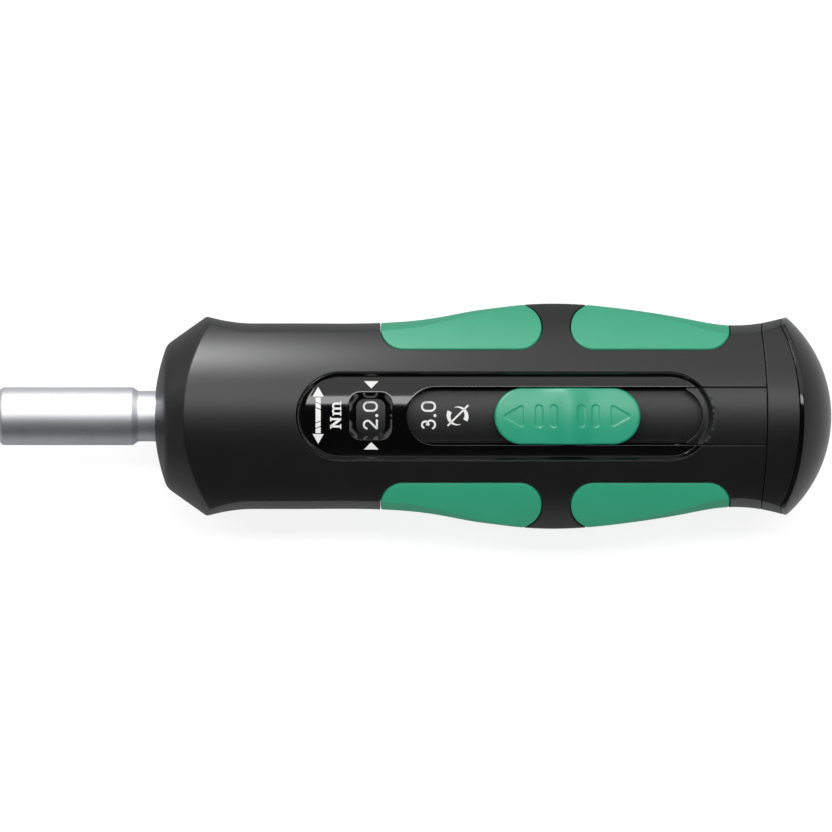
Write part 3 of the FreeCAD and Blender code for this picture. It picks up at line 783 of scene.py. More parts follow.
# --- Handle ---------------------------------------------------------------------------------------------
@dataclass
class Handle:
    """Moulded shell with its four soft inlays, the rear ring and the glossy end cap."""

    form: HandleForm
    wall: float = 2.2
    gap: float = 0.05
    edge: float = 0.13
    lip: float = 0.28
    grip_depth: float = 1.45
    grip_half_width: float = 3.9
    channel_half_width: float = 4.86
    bed_height: float = 9.7
    outline_step: float = 0.3

    def grip_outline(self, name: str) -> Array:
        """Outline of an inlay in s and t.

        In plan it is a stadium that runs off the side of the handle. The part over the upper half is carried
        on to the skin and mirrored on to the lower half.

        Args:
            name: the inlay's solid, which gives its place.

        Returns:
            A closed outline.
        """
        low, high = (np.array(corner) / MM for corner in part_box(name))
        side = 1.0 if low[1] > 0 else -1.0
        centre = min(abs(low[1]), abs(high[1])) + self.grip_half_width
        ring = stadium((low[0], high[0]), self.grip_half_width, centre, 0.05)
        off_middle = np.abs(ring[:, 0] - (low[0] + high[0]) / 2)
        ring = np.roll(ring, -int(np.argmax(ring[:, 1] - 10 * off_middle)), axis=0)
        ring = ring[ring[:, 1] < self.form.half_width(ring[:, 0]) - 0.01]
        s, t = self.form.on_plan(ring[:, 0], ring[:, 1])
        limit = self.form.T_SIDE
        upper = np.stack([s, t], axis=1)
        ends = np.array([[s[0], limit], [s[-1], limit]])
        loop = np.vstack([ends[:1], upper, ends[1:], np.stack([s, 2 * limit - t], axis=1)[::-1]])
        return resampled(loop * np.array([1.0, side]), self.outline_step)

    def recess_outline(self, insert_span: Sequence[float], half_width: float) -> Array:
        """Outline of the insert's seat, with the strip that is open to the rear seam.

        Args:
            insert_span: ends of the insert along x.
            half_width: half the insert's width.

        Returns:
            The closed outline in s and t.
        """
        seat = stadium((insert_span[0] - self.gap, insert_span[1]), half_width + self.gap, step=0.1)
        side = self.channel_half_width + self.gap
        seat = np.roll(seat, -int(np.argmax(seat[:, 0] - 0.001 * seat[:, 1])), axis=0)
        front = seat[~((np.abs(seat[:, 1]) < side) & (seat[:, 0] > 0))]
        lead = front[0]
        strip = np.stack([np.linspace(70.0, lead[0], 60), np.full(60, side)], axis=1)
        loop = np.vstack([strip[:-1], front, (strip * np.array([1.0, -1.0]))[-2::-1]])
        s, t = self.form.on_plan(loop[:, 0], loop[:, 1])
        return resampled(np.stack([s, t], axis=1), self.outline_step)

    def shell(self, openings: Sequence[Array]) -> Surface:
        """Skin between the nose hole and the rear seam, with rounded edges along every opening, made solid.

        Args:
            openings: their outlines in s and t.

        Returns:
            The closed shell.
        """
        form = self.form
        end = form.S_END
        lines = spaced((form.S_HOLE, form.S_HOLE + 0.3, form.S_DOME - 0.8, form.S_DOME + 0.8, -0.3, 0.3,
                        end - 0.6, end - 0.15, end), (0.1, 0.8, 0.2, 0.8, 0.075, 0.8, 0.15, 0.05))
        free = lattice_points(lines, form.lines_round())
        rings = [moved_out(loop, step) for loop in openings for step in (0.0, 0.04, 0.08, self.edge)]
        rings += [moved_out(loop, 0.34) for loop in openings]

        def keep(middles: Array) -> Array:
            """Drops what lies in an opening or behind the seam."""
            stays = middles[:, 0] < end
            for loop in openings:
                stays &= ~inside(middles, loop)
            return stays

        border = np.stack([np.full(len(form.lines_round()), end), form.lines_round()], axis=1)
        flat, faces = triangulated(free, rings, keep, 0.3, [border])
        away = np.minimum(end - flat[:, 0], flat[:, 0] - form.S_HOLE)
        for loop in openings:
            away = np.minimum(away, distance_to(flat, loop, 0.5))
        outside = form.skin(flat[:, 0], flat[:, 1])
        outside[:, 0] -= self.gap * np.clip(flat[:, 0] - end + 1, 0, 1)
        outside = form.sunk(outside, rounding(away, self.edge))
        skin = Surface(outside, faces).welded()
        return skin.closed_with(form.sunk(skin.points, self.wall))

    def bed(self, slot_end: float) -> Surface:
        """Trough under the insert that the tongue slides in: one U-shaped section, carried along x.

        Args:
            slot_end: x of the insert's rear end.

        Returns:
            The closed trough.
        """
        inner, outer = self.channel_half_width, self.channel_half_width + 1.4
        top, floor, under = 11.25, self.bed_height, self.bed_height - 1.2
        corners = np.array([(-outer, top), (-inner, top), (-inner, floor), (inner, floor), (inner, top),
                            (outer, top), (outer, under), (-outer, under)])
        xs = np.linspace(-27.5, slot_end + 2.0, 12)
        points = np.zeros((len(xs), len(corners), 3))
        points[..., 0] = xs[:, None]
        points[..., 1:] = corners[None]
        tube = sheet(points, True)
        last = (len(xs) - 1) * len(corners)
        caps = np.array([(0, 1, 2, 7), (2, 3, 6, 7), (3, 4, 5, 6)])
        return Surface(tube.points, np.vstack([tube.faces, caps, (caps + last)[:, ::-1]]))

    def grip(self, outline: Array) -> Surface:
        """Soft inlay: skin inside its outline with a rounded lip, made solid down to its pocket.

        Args:
            outline: its outline in s and t.

        Returns:
            The closed inlay.
        """
        form = self.form
        loop = moved_out(outline, -2 * self.gap)
        low, high = loop.min(axis=0), loop.max(axis=0)
        xs = spaced((low[0], high[0]), (0.6,))
        ts = form.lines_round()
        free = lattice_points(xs, ts[(ts > low[1]) & (ts < high[1])])
        free = free[inside(free, loop)]
        rings = [moved_out(loop, -step) for step in (0.0, 0.04, 0.1, 0.18, self.lip, 0.5)]
        flat, faces = triangulated(free, rings, lambda middles: inside(middles, loop), 0.28)
        drop = rounding(distance_to(flat, loop, 0.6), self.lip) + 0.015
        skin = Surface(form.sunk(form.skin(flat[:, 0], flat[:, 1]), drop), faces)
        inner = form.sunk(form.skin(flat[:, 0], flat[:, 1]), self.grip_depth)
        return skin.closed_with(inner)

    def rear_ring(self) -> Surface:
        """Ring between the two rear seams, with rounded edges, made solid.

        Returns:
            The closed ring.
        """
        form, t = self.form, self.form.lines_round()[:-1]
        near = np.array([0.0, 0.03, 0.07, 0.13, 0.25])
        front, back = form.at_edge(form.seam_x, t) + self.gap, form.at_edge(form.cap_x, t) - self.gap
        share = np.linspace(0, 1, 12)[1:-1]
        between = (front + 0.25)[None] + share[:, None] * (back - front - 0.5)[None]
        x = np.vstack([front[None] + near[:, None], between, back[None] - near[::-1, None]])
        away = np.minimum(x - front[None], back[None] - x)
        return self._band(x, t, away)

    def _band(self, x: Array, t: Array, away: Array) -> Surface:
        """Closed band of the handle, sunk along its edges and made solid.

        Args:
            x: rows of places along the tool.
            t: places round it.
            away: distance of each point from the band's edge.

        Returns:
            The closed band.
        """
        turn = np.broadcast_to(t, x.shape)
        y, h = self.form.section(x, turn)
        points = self.form.sunk(np.stack([x, y, h], axis=-1), rounding(away, self.edge))
        skin = sheet(points, True)
        return skin.closed_with(self.form.sunk(skin.points, self.wall))

    def end_cap(self) -> Surface:
        """End dome: a thin rim that follows the handle, a small rounded edge, then a sphere up to its pole.

        Returns:
            The closed cap.
        """
        form, t = self.form, self.form.lines_round()[:-1]
        front, edge = form.at_edge(form.cap_x, t) + self.gap, form.at_edge(form.dome_x, t)
        near = np.array([0.0, 0.03, 0.07, 0.13])
        share = np.linspace(0, 1, 5)[1:]
        x = np.vstack([front[None] + near[:, None],
                       (front + 0.13)[None] + share[:, None] * (edge - front - 0.28)])
        y, h = form.section(x, np.broadcast_to(t, x.shape))
        rim = form.sunk(np.stack([x, y, h], axis=-1), rounding(x - front[None], self.edge))
        y, h = form.section(edge, t)
        corner = np.stack([edge, y, h], axis=-1)
        radius = np.hypot(y, h)
        fall = np.linspace(0, math.pi / 2, 49)[1:, None] * 0.999999
        r = np.vstack([radius - 0.25, (radius - 0.25) * np.cos(fall)])
        r[-1] = 0.0
        dome = np.stack([form.dome_centre + np.sqrt(form.end_dome_radius ** 2 - r ** 2),
                         y * r / radius, h * r / radius], axis=-1)
        u = np.linspace(0, 1, 7)[1:-1, None, None]
        turn = (1 - u) ** 2 * rim[-1] + 2 * u * (1 - u) * corner + u ** 2 * dome[0]
        skin = sheet(np.vstack([rim, turn, dome]), True).welded()
        return skin.closed_with(form.sunk(skin.points, self.wall))

    def build(self, workshop: Workshop, insert_span: Sequence[float], insert_half_width: float) -> None:
        """Makes the shell, inlays, rear ring and end cap.

        Args:
            workshop: what writes the pieces.
            insert_span: ends of the scale insert's stadium along x.
            insert_half_width: half its width.
        """
        nylon, soft = MOULDED_NYLON.material(), SOFT_ELASTOMER.material()
        names = [f"grip_{place}_{side}" for place in ("front", "rear") for side in ("left", "right")]
        outlines = {name: self.grip_outline(name) for name in names}
        openings = [moved_out(loop, self.gap) for loop in outlines.values()]
        openings.append(self.recess_outline(insert_span, insert_half_width))
        shell = self.shell(openings).joined(self.bed(insert_span[1]))
        workshop.piece("handle_shell_moulding", shell, nylon, Body.HANDLE, "black_nylon", ["handle_shell"])
        for name, outline in outlines.items():
            workshop.piece(name + "_inlay", self.grip(outline), soft, Body.HANDLE, "soft_green", [name])
        workshop.piece("rear_ring_moulding", self.rear_ring(), nylon, Body.HANDLE, "black_nylon",
                       ["rear_ring"])
        workshop.piece("end_cap_dome", self.end_cap(), POLISHED_ABS.material(), Body.HANDLE, "gloss_black",
                       ["end_cap"], crease=60.0)


# --- Scale insert ---------------------------------------------------------------------------------------
@dataclass
class ScaleInsert:
    """Glossy plate with its sloping rim, reading window and slot, and the strip behind the slot."""

    form: HandleForm
    span: tuple[float, float] = (-19.97, 50.0)
    half_width: float = 7.4
    gap: float = 0.03
    floor_drop: float = 3.12
    window_x: float = -7.53
    window_top: tuple[float, float, float] = (7.15, 7.85, 1.9)
    window_bottom: tuple[float, float] = (4.9, 5.8)
    slot: tuple[float, float] = (-1.45, 48.2)
    slot_half_width: float = 4.86
    filler_front: float = 45.5
    rim: tuple = ((0.0, 0.11), (0.04, 0.04), (0.1, 0.02), (0.54, 0.58), (0.6, 0.66), (0.63, 0.88),
                  (0.7, 0.93))
    edge: float = 0.12

    def seat(self) -> Array:
        """Outline of the insert in plan."""
        return stadium((self.span[0] + self.gap, self.span[1] - self.gap), self.half_width - self.gap)

    def window(self) -> Array:
        """Outline of the window at the plate, in plan."""
        length, width, radius = self.window_top
        return rounded_box((self.window_x, 0.0), length, width, radius, 0.2)

    def slot_outline(self, rear: float) -> Array:
        """Outline of the slot in plan, as far back as rear."""
        return stadium((self.slot[0], rear), self.slot_half_width, step=0.25)

    def drop(self, flat: Array) -> Array:
        """How far the rim and the plate lie under the front face, read over the distance from the edge.

        Args:
            flat: points in plan.

        Returns:
            The drop at each point.
        """
        knots = np.array(self.rim)
        away = distance_to(flat, self.seat(), 2.0)
        return np.interp(away, knots[:, 0], knots[:, 1])

    def rim_rings(self) -> list[Array]:
        """Outlines along every bend of the rim's section."""
        return [moved_out(self.seat(), -away) for away, _ in self.rim] + [moved_out(self.seat(), -1.2)]

    def solid(self, flat: Array, faces: Array, sunk: Array) -> Surface:
        """Carries a flat piece of the insert up to its height and makes it solid down to its underside.

        Args:
            flat: its points in plan.
            faces: its faces.
            sunk: extra depth at each point.

        Returns:
            The closed piece.
        """
        top = np.stack([flat[:, 0], flat[:, 1], self.form.face(flat[:, 1], self.drop(flat)) - sunk], axis=1)
        under = np.array([flat[:, 0], flat[:, 1], self.form.face(flat[:, 1], self.floor_drop)]).T
        away = np.clip(1 - distance_to(flat, self.window(), 1.2) / 1.2, 0, 1)[:, None]
        narrow = np.array(self.window_bottom) / np.array(self.window_top[:2])
        centre = np.array([self.window_x, 0.0])
        under[:, :2] = centre + (flat - centre) * (1 - away * (1 - narrow))
        under[:, 2] = self.form.face(under[:, 1], self.floor_drop)
        return Surface(top, faces).closed_with(under)

    def plate(self) -> Surface:
        """The insert: rim and plate round the window and the open slot, with rounded edges on both.

        Returns:
            The closed plate.
        """
        seat, window, slot = self.seat(), self.window(), self.slot_outline(80.0)
        free = lattice_points(spaced(self.span, (0.7,)), np.linspace(-7.0, 7.0, 25))
        free = free[inside(free, seat)]
        rings = self.rim_rings() + [moved_out(window, a) for a in (0.0, 0.03, 0.07, self.edge, 0.4)]
        rings += [moved_out(slot, a) for a in (0.0, 0.03, 0.07, self.edge, 0.4)]

        def keep(middles: Array) -> Array:
            """Keeps what lies in the seat and outside both openings."""
            return inside(middles, seat) & ~inside(middles, window) & ~inside(middles, slot)

        flat, faces = triangulated(free, rings, keep, 0.3)
        away = np.minimum(distance_to(flat, window, 0.5), distance_to(flat, slot, 0.5))
        return self.solid(flat, faces, rounding(away, self.edge))

    def strip(self) -> Surface:
        """The strip behind the slot: the rest of the plate and rim, then the face as far as the rear seam.

        Returns:
            The closed strip.
        """
        form, side = self.form, self.slot_half_width - 2 * self.gap
        y = np.linspace(-side, side, 41)
        rear = form.at_edge(form.seam_x, form.on_plan(np.full_like(y, 59.0), y)[1]) - 0.05
        back = np.stack([rear, y], axis=1)
        front = np.array([[self.filler_front, side], [self.filler_front, -side]])
        outline = resampled(np.vstack([back, front]), 0.25)
        slot = self.slot_outline(self.slot[1])
        free = lattice_points(spaced((self.filler_front, 60.5), (0.6,)), np.linspace(-side, side, 15))
        free = free[inside(free, outline)]
        rings = [moved_out(outline, -a) for a in (0.0, 0.05, self.edge, 0.35)]
        rings += self.rim_rings() + [moved_out(slot, a) for a in (0.0, 0.03, 0.07, self.edge, 0.4)]

        def keep(middles: Array) -> Array:
            """Keeps what lies in the strip and behind the slot."""
            return inside(middles, outline) & ~inside(middles, slot)

        flat, faces = triangulated(free, rings, keep, 0.25)
        away = np.minimum(distance_to(flat, outline, 0.5), distance_to(flat, slot, 0.5))
        skin = np.stack([flat[:, 0], flat[:, 1], form.face(flat[:, 1], self.face_drop(flat))
                         - rounding(away, self.edge)], axis=1)
        under = np.array([flat[:, 0], flat[:, 1], form.face(flat[:, 1], self.floor_drop)]).T
        return Surface(skin, faces).closed_with(under)

    def face_drop(self, flat: Array) -> Array:
        """The drop of rim and plate inside the insert's outline, and none outside it."""
        return np.where(inside(flat, self.seat()), self.drop(flat), 0.0)

    def build(self, workshop: Workshop) -> None:
        """Makes the plate and the strip.

        Args:
            workshop: what writes the pieces.
        """
        gloss = POLISHED_ABS.material()
        workshop.piece("scale_insert_plate", self.plate(), gloss, Body.HANDLE, "gloss_black",
                       ["scale_insert"])
        workshop.piece("channel_filler_strip", self.strip(), MOULDED_NYLON.material(), Body.HANDLE,
                       "black_nylon", ["channel_filler"])


# --- Printing -------------------------------------------------------------------------------------------
def ribbon(path: Array, width: float | Array, round_ends: bool = True) -> tuple[Array, Array]:
    """Flat stroke along a line.

    Args:
        path: the middle of the stroke, shape (n, 2).
        width: its width, or one width for each point.
        round_ends: whether the ends are half round.

    Returns:
        Points and faces of four corners.
    """
    half = np.broadcast_to(np.asarray(width, float) / 2, (len(path),)).copy()
    if round_ends:
        turn = np.linspace(0, math.pi / 2, 6)[1:]
        first, last = path[0] - path[1], path[-1] - path[-2]
        first, last = first / np.hypot(*first), last / np.hypot(*last)
        lead = path[0] + np.outer(np.sin(turn[::-1]), first) * half[0]
        tail = path[-1] + np.outer(np.sin(turn), last) * half[-1]
        half = np.concatenate([np.cos(turn[::-1]) * half[0], half, np.cos(turn) * half[-1]])
        path = np.vstack([lead, path, tail])
    along = np.gradient(path, axis=0)
    normal = np.stack([-along[:, 1], along[:, 0]], axis=1) / np.maximum(np.hypot(*along.T), 1e-9)[:, None]
    grid = path[:, None, :] + normal[:, None, :] * (half[:, None] * np.array([-1.0, 0.0, 1.0]))[..., None]
    surface = sheet(np.dstack([grid, np.zeros(grid.shape[:2])]))
    return surface.points[:, :2], surface.faces


def filled(outline: Array, step: float = 0.15) -> tuple[Array, Array]:
    """Flat patch inside an outline.

    Args:
        outline: the closed outline.
        step: distance between points.

    Returns:
        Points and faces of four corners.
    """
    loop = resampled(outline, step)
    low, high = loop.min(axis=0), loop.max(axis=0)
    free = lattice_points(np.arange(low[0], high[0], step), np.arange(low[1], high[1], step))
    free = free[inside(free, loop)]
    return triangulated(free, [loop], lambda middles: inside(middles, loop), 0.6 * step)


class Glyph(Enum):
    """The characters that the scale needs, drawn as strokes on a body 2.2 high, centred on nought."""

    ZERO = "0"
    TWO = "2"
    THREE = "3"
    POINT = "."

    def strokes(self) -> list[Array]:
        """Middle lines of the character's strokes.

        Returns:
            The lines, each of shape (n, 2).
        """
        if self is Glyph.ZERO:
            return [np.vstack([arc((0, 0.38), (0.72, 0.72), 0, 180), arc((0, -0.38), (0.72, 0.72), 180, 360),
                               [(0.72, 0.38), (0.72, 0.5)]])]
        if self is Glyph.TWO:
            bowl = arc((0.0, 0.46), (0.66, 0.64), 165, -32)
            return [np.vstack([bowl, [(-0.68, -1.1)], [(0.74, -1.1)]])]
        if self is Glyph.THREE:
            upper = arc((-0.02, 0.54), (0.56, 0.56), 150, -90)
            lower = arc((0.0, -0.42), (0.7, 0.68), 90, -152)
            return [np.vstack([upper, [(-0.2, -0.02)]])[:-1], lower]
        return [np.array([(0.0, -1.08), (0.02, -1.08)])]

    def reach(self) -> float:
        """Distance to the next character's middle, shared half and half."""
        return 1.1 if self is Glyph.POINT else 1.95


@dataclass
class Print:
    """White printing on a surface: flat strokes, carried up to its height as a thin film of ink."""

    height: Callable[[Array], Array]
    film: float = 0.025
    stroke: float = 0.34

    def film_of(self, flat: Array, faces: Array) -> Surface:
        """Ink film over a flat shape, a little above the surface and closed below it.

        Args:
            flat: the shape's points in plan.
            faces: its faces.

        Returns:
            The closed film.
        """
        level = self.height(flat)
        skin = Surface(np.column_stack([flat, level + self.film]), faces).welded()
        return skin.closed_with(skin.points - np.array([0.0, 0.0, 2 * self.film]))

    def number(self, text: str, middle: Sequence[float]) -> list[Surface]:
        """Number that reads towards +y, with its tops towards -x.

        Args:
            text: the number.
            middle: x and y of its middle.

        Returns:
            One film for each stroke.
        """
        glyphs = [Glyph(c) for c in text]
        places = np.cumsum([0.0] + [(a.reach() + b.reach()) / 2 for a, b in zip(glyphs[:-1], glyphs[1:])])
        places -= places.mean()
        films = []
        for glyph, place in zip(glyphs, places):
            for line in glyph.strokes():
                width = 0.5 if glyph is Glyph.POINT else self.stroke
                step = 0.01 if glyph is Glyph.POINT else 0.1
                line = resampled(line, step, closed=False)
                turned = np.stack([middle[0] - line[:, 1], middle[1] + line[:, 0] + place], axis=1)
                films.append(self.film_of(*ribbon(turned, width)))
        return films

    def shape(self, outline: Array) -> Surface:
        """Solid patch of ink inside a closed outline in plan."""
        return self.film_of(*filled(outline))

    def bar(self, start: Sequence[float], end: Sequence[float], width: float,
            round_ends: bool = False) -> Surface:
        """Straight stroke of ink from one point to another."""
        line = resampled(np.array([start, end], float), 0.1, closed=False)
        return self.film_of(*ribbon(line, width, round_ends))

    def unit_name(self, middle: Sequence[float]) -> list[Surface]:
        """The newton metre sign in bold slab letters, reading towards +y.

        Args:
            middle: x and y of its middle.

        Returns:
            One film for each stroke.
        """
        strokes = [  # u0, v0, u1, v1 and width; u runs along the line of text and v up its letters
            (-1.85, -0.93, -1.85, 0.93, 0.36), (-0.62, -0.93, -0.62, 0.93, 0.36),
            (-1.9, 0.86, -0.58, -0.86, 0.42), (-2.25, 0.84, -1.6, 0.84, 0.2),
            (-2.25, -0.84, -1.45, -0.84, 0.2), (-1.0, 0.84, -0.25, 0.84, 0.2),
            (0.32, -0.93, 0.32, 0.5, 0.34), (1.16, -0.93, 1.16, 0.2, 0.34), (2.0, -0.93, 2.0, 0.2, 0.34),
            (-0.05, -0.84, 0.68, -0.84, 0.2), (0.84, -0.84, 1.5, -0.84, 0.2),
            (1.68, -0.84, 2.38, -0.84, 0.2), (-0.05, 0.42, 0.4, 0.42, 0.2)]
        films = []
        for u0, v0, u1, v1, width in strokes:
            films.append(self.bar((middle[0] - v0, middle[1] + u0), (middle[0] - v1, middle[1] + u1), width))
        for start in (0.32, 1.16):
            bow = arc((start + 0.42, 0.13), (0.42, 0.32), 165, 0, 16)
            turned = np.stack([middle[0] - bow[:, 1], middle[1] + bow[:, 0]], axis=1)
            films.append(self.film_of(*ribbon(turned, 0.32, False)))
        return films

    def setting_arrow(self, middle: Sequence[float]) -> list[Surface]:
        """Double arrow across the plate whose shaft is broken by slanting gaps.

        Args:
            middle: x and y of its middle.

        Returns:
            One film for each part.
        """
        x, y = middle
        films = []
        for side in (1.0, -1.0):
            head = np.array([(x - 0.93, y + side * 3.15), (x + 0.93, y + side * 3.15), (x, y + side * 4.8)])
            films.append(self.shape(head))
            for near, far in ((2.12, 3.0), (1.2, 1.98)):
                slant = 0.16
                corners = [(x - 0.43, y + side * (near + slant)), (x + 0.43, y + side * (near - slant)),
                           (x + 0.43, y + side * (far - slant * (far < 3))),
                           (x - 0.43, y + side * (far + slant * (far < 3)))]
                films.append(self.shape(np.array(corners)))
        shaft = [(x - 0.43, y + 1.2), (x - 0.43, y - 1.2), (x + 0.43, y - 0.9), (x + 0.43, y + 0.9)]
        films.append(self.shape(np.array(shaft)))
        return films

    def clutch_off_sign(self, middle: Sequence[float], radius: float = 1.5) -> list[Surface]:
        """Sign for a blocked clutch: two arcs that taper as they turn, with a stroke through them.

        Args:
            middle: x and y of its middle.
            radius: radius of the arcs.

        Returns:
            One film for each part.
        """
        x, y = middle
        films = [self.bar((x - 1.6, y - 1.6), (x + 1.72, y + 1.72), 0.3, True)]
        for start in (150.0, -30.0):
            bow = arc(middle, (radius, radius), start, start + 140, 40)
            width = 0.74 * (1 - np.linspace(0, 1, len(bow)) ** 1.2) + 0.05
            films.append(self.film_of(*ribbon(bow, width, False)))
        return films

    def write(self, workshop: Workshop, name: str, films: list[Surface], ink: bpy.types.Material, body: Body,
              slot: str) -> None:
        """Writes several films as one piece."""
        workshop.piece(name, films[0].joined(*films[1:]), ink, body, slot)


# --- Torque switch --------------------------------------------------------------------------------------
@dataclass
class TorqueSwitch:
    """Tongue with the printed settings and the thumb button on it."""

    form: HandleForm
    tongue_drop: float = 3.24
    first_x: float = -7.6
    second_x: float = 2.19
    off_x: float = 7.08
    crown: float = 15.0
    crest: tuple = ((-14.0, 13.5), (-11.6, 13.82), (-8.0, 13.88), (-4.0, 13.95), (-1.4, 14.65), (0.4, 15.04),
                    (1.6, 14.75), (4.0, 13.95), (8.0, 13.88), (11.6, 13.82), (14.0, 13.5))
    edge: float = 0.45
    recess: float = 0.16
    ridges: tuple = (20.75, 23.2, 27.85, 30.25)
    ridge_half: float = 0.62
    pointers: tuple = ((14.6, 18.1), (36.35, 32.85))
    mark_reach: float = 1.9

    def tongue(self) -> Surface:
        """Slide: a flat bar with an arched top and small rounded edges, carried along x.

        Returns:
            The closed bar.
        """
        low, high = (np.array(corner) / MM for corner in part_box("slider_tongue"))
        half, bottom = high[1], low[2] - self.form.face_height
        y = half - np.array([0.0, 0.03, 0.1, 0.2, 0.6])
        top = np.concatenate([y, np.linspace(half - 1.2, -half + 1.2, 22), -y[::-1]])
        arch = self.form.face(top, self.tongue_drop) - rounding(half - np.abs(top), 0.2)
        loop = np.vstack([np.stack([top, arch], axis=1), [(-half, bottom), (half, bottom)]])
        xs = np.concatenate([low[0] + np.array([0.0, 0.05, 0.15]), np.linspace(low[0] + 1, high[0] - 1, 60),
                             high[0] - np.array([0.15, 0.05, 0.0])])
        shrink = rounding(np.minimum(xs - xs[0], xs[-1] - xs), 0.15)
        points = np.zeros((len(xs), len(loop), 3))
        points[..., 0] = xs[:, None]
        points[..., 1] = loop[None, :, 0] * (1 - shrink[:, None] / half)
        points[..., 2] = np.maximum(loop[None, :, 1] - shrink[:, None], bottom)
        sides = sheet(points, True)
        count = len(loop)
        hub = np.array([[xs[0], 0, bottom + 0.5], [xs[-1], 0, bottom + 0.5]])
        ring, ahead = np.arange(count), np.roll(np.arange(count), -1)
        last = (len(xs) - 1) * count
        middle = np.full(count, len(sides.points))
        front = np.stack([middle, ring, ahead, ahead], axis=1)
        back = np.stack([middle + 1, ahead + last, ring + last, ring + last], axis=1)
        return Surface(np.vstack([sides.points, hub]), np.vstack([sides.faces, front, back])[:, ::-1])

    def mark_depth(self, flat: Array) -> Array:
        """Depth of the sunk pointers and pills: full inside each shape, with a short smooth wall.

        Args:
            flat: points in plan.

        Returns:
            The depth at each point.
        """
        apart = np.full(len(flat), 9.0)
        for x in self.ridges:
            reach = self.mark_reach - self.ridge_half
            beyond = flat[:, 1] - np.clip(flat[:, 1], -reach, reach)
            apart = np.minimum(apart, np.hypot(flat[:, 0] - x, beyond) - self.ridge_half)
        for tip, base in self.pointers:
            way, soft = np.sign(base - tip), 0.32
            half = self.mark_reach - 1.5 * soft
            foot = base - way * soft
            core = np.array([(tip + way * 2.1 * soft, 0.0), (foot, half), (foot, -half)])
            gap = distance_to(flat, core, 9.0)
            apart = np.minimum(apart, np.where(inside(flat, core), -gap, gap) - soft)
        share = np.clip(0.5 - apart / 0.2, 0.0, 1.0)
        return self.recess * share * share * (3 - 2 * share)

    def button(self) -> Surface:
        """Thumb button: an arched bar with a crest across it, rounded edges and sunk marks.

        Returns:
            The closed button.
        """
        low, high = (np.array(corner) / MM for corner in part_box("slider_button"))
        outline = stadium((low[0], high[0]), high[1], step=0.25)
        free = lattice_points(np.arange(low[0], high[0], 0.115), np.arange(low[1], high[1], 0.115))
        free = free[inside(free, outline)]
        rings = [moved_out(outline, -a) for a in (0.0, 0.03, 0.08, 0.15, 0.24, 0.34, self.edge)]
        flat, faces = triangulated(free, rings, lambda middles: inside(middles, outline), 0.1)
        knots = np.array(self.crest)
        crest = Spline(knots[:, 0], knots[:, 1])(flat[:, 0] - (low[0] + high[0]) / 2)
        arch = self.crown - np.sqrt(self.crown ** 2 - flat[:, 1] ** 2)
        fall = rounding(distance_to(flat, outline, 0.6), self.edge)
        top = np.column_stack([flat, crest - arch - fall - self.mark_depth(flat)])
        under = np.column_stack([flat, self.form.face(flat[:, 1], self.tongue_drop)])
        return Surface(top, faces).closed_with(under)

    def build(self, workshop: Workshop, ink: bpy.types.Material) -> None:
        """Makes the tongue, its printed settings and the button.

        Args:
            workshop: what writes the pieces.
            ink: the finish of the print.
        """
        workshop.piece("slider_tongue_bar", self.tongue(), SLIDE_NYLON.material(), Body.SLIDER,
                       "black_nylon", ["slider_tongue"])
        workshop.piece("slider_button_grip", self.button(), SATIN_ACETAL.material(), Body.SLIDER,
                       "green_plastic", ["slider_button"], crease=50.0)
        scale = Print(lambda flat: self.form.face(flat[:, 1], self.tongue_drop))
        films = scale.number("2.0", (self.first_x, 0.1)) + scale.number("3.0", (self.second_x, 0.1))
        films += scale.clutch_off_sign((self.off_x, 0.05))
        scale.write(workshop, "printed_settings", films, ink, Body.SLIDER, "black_nylon")


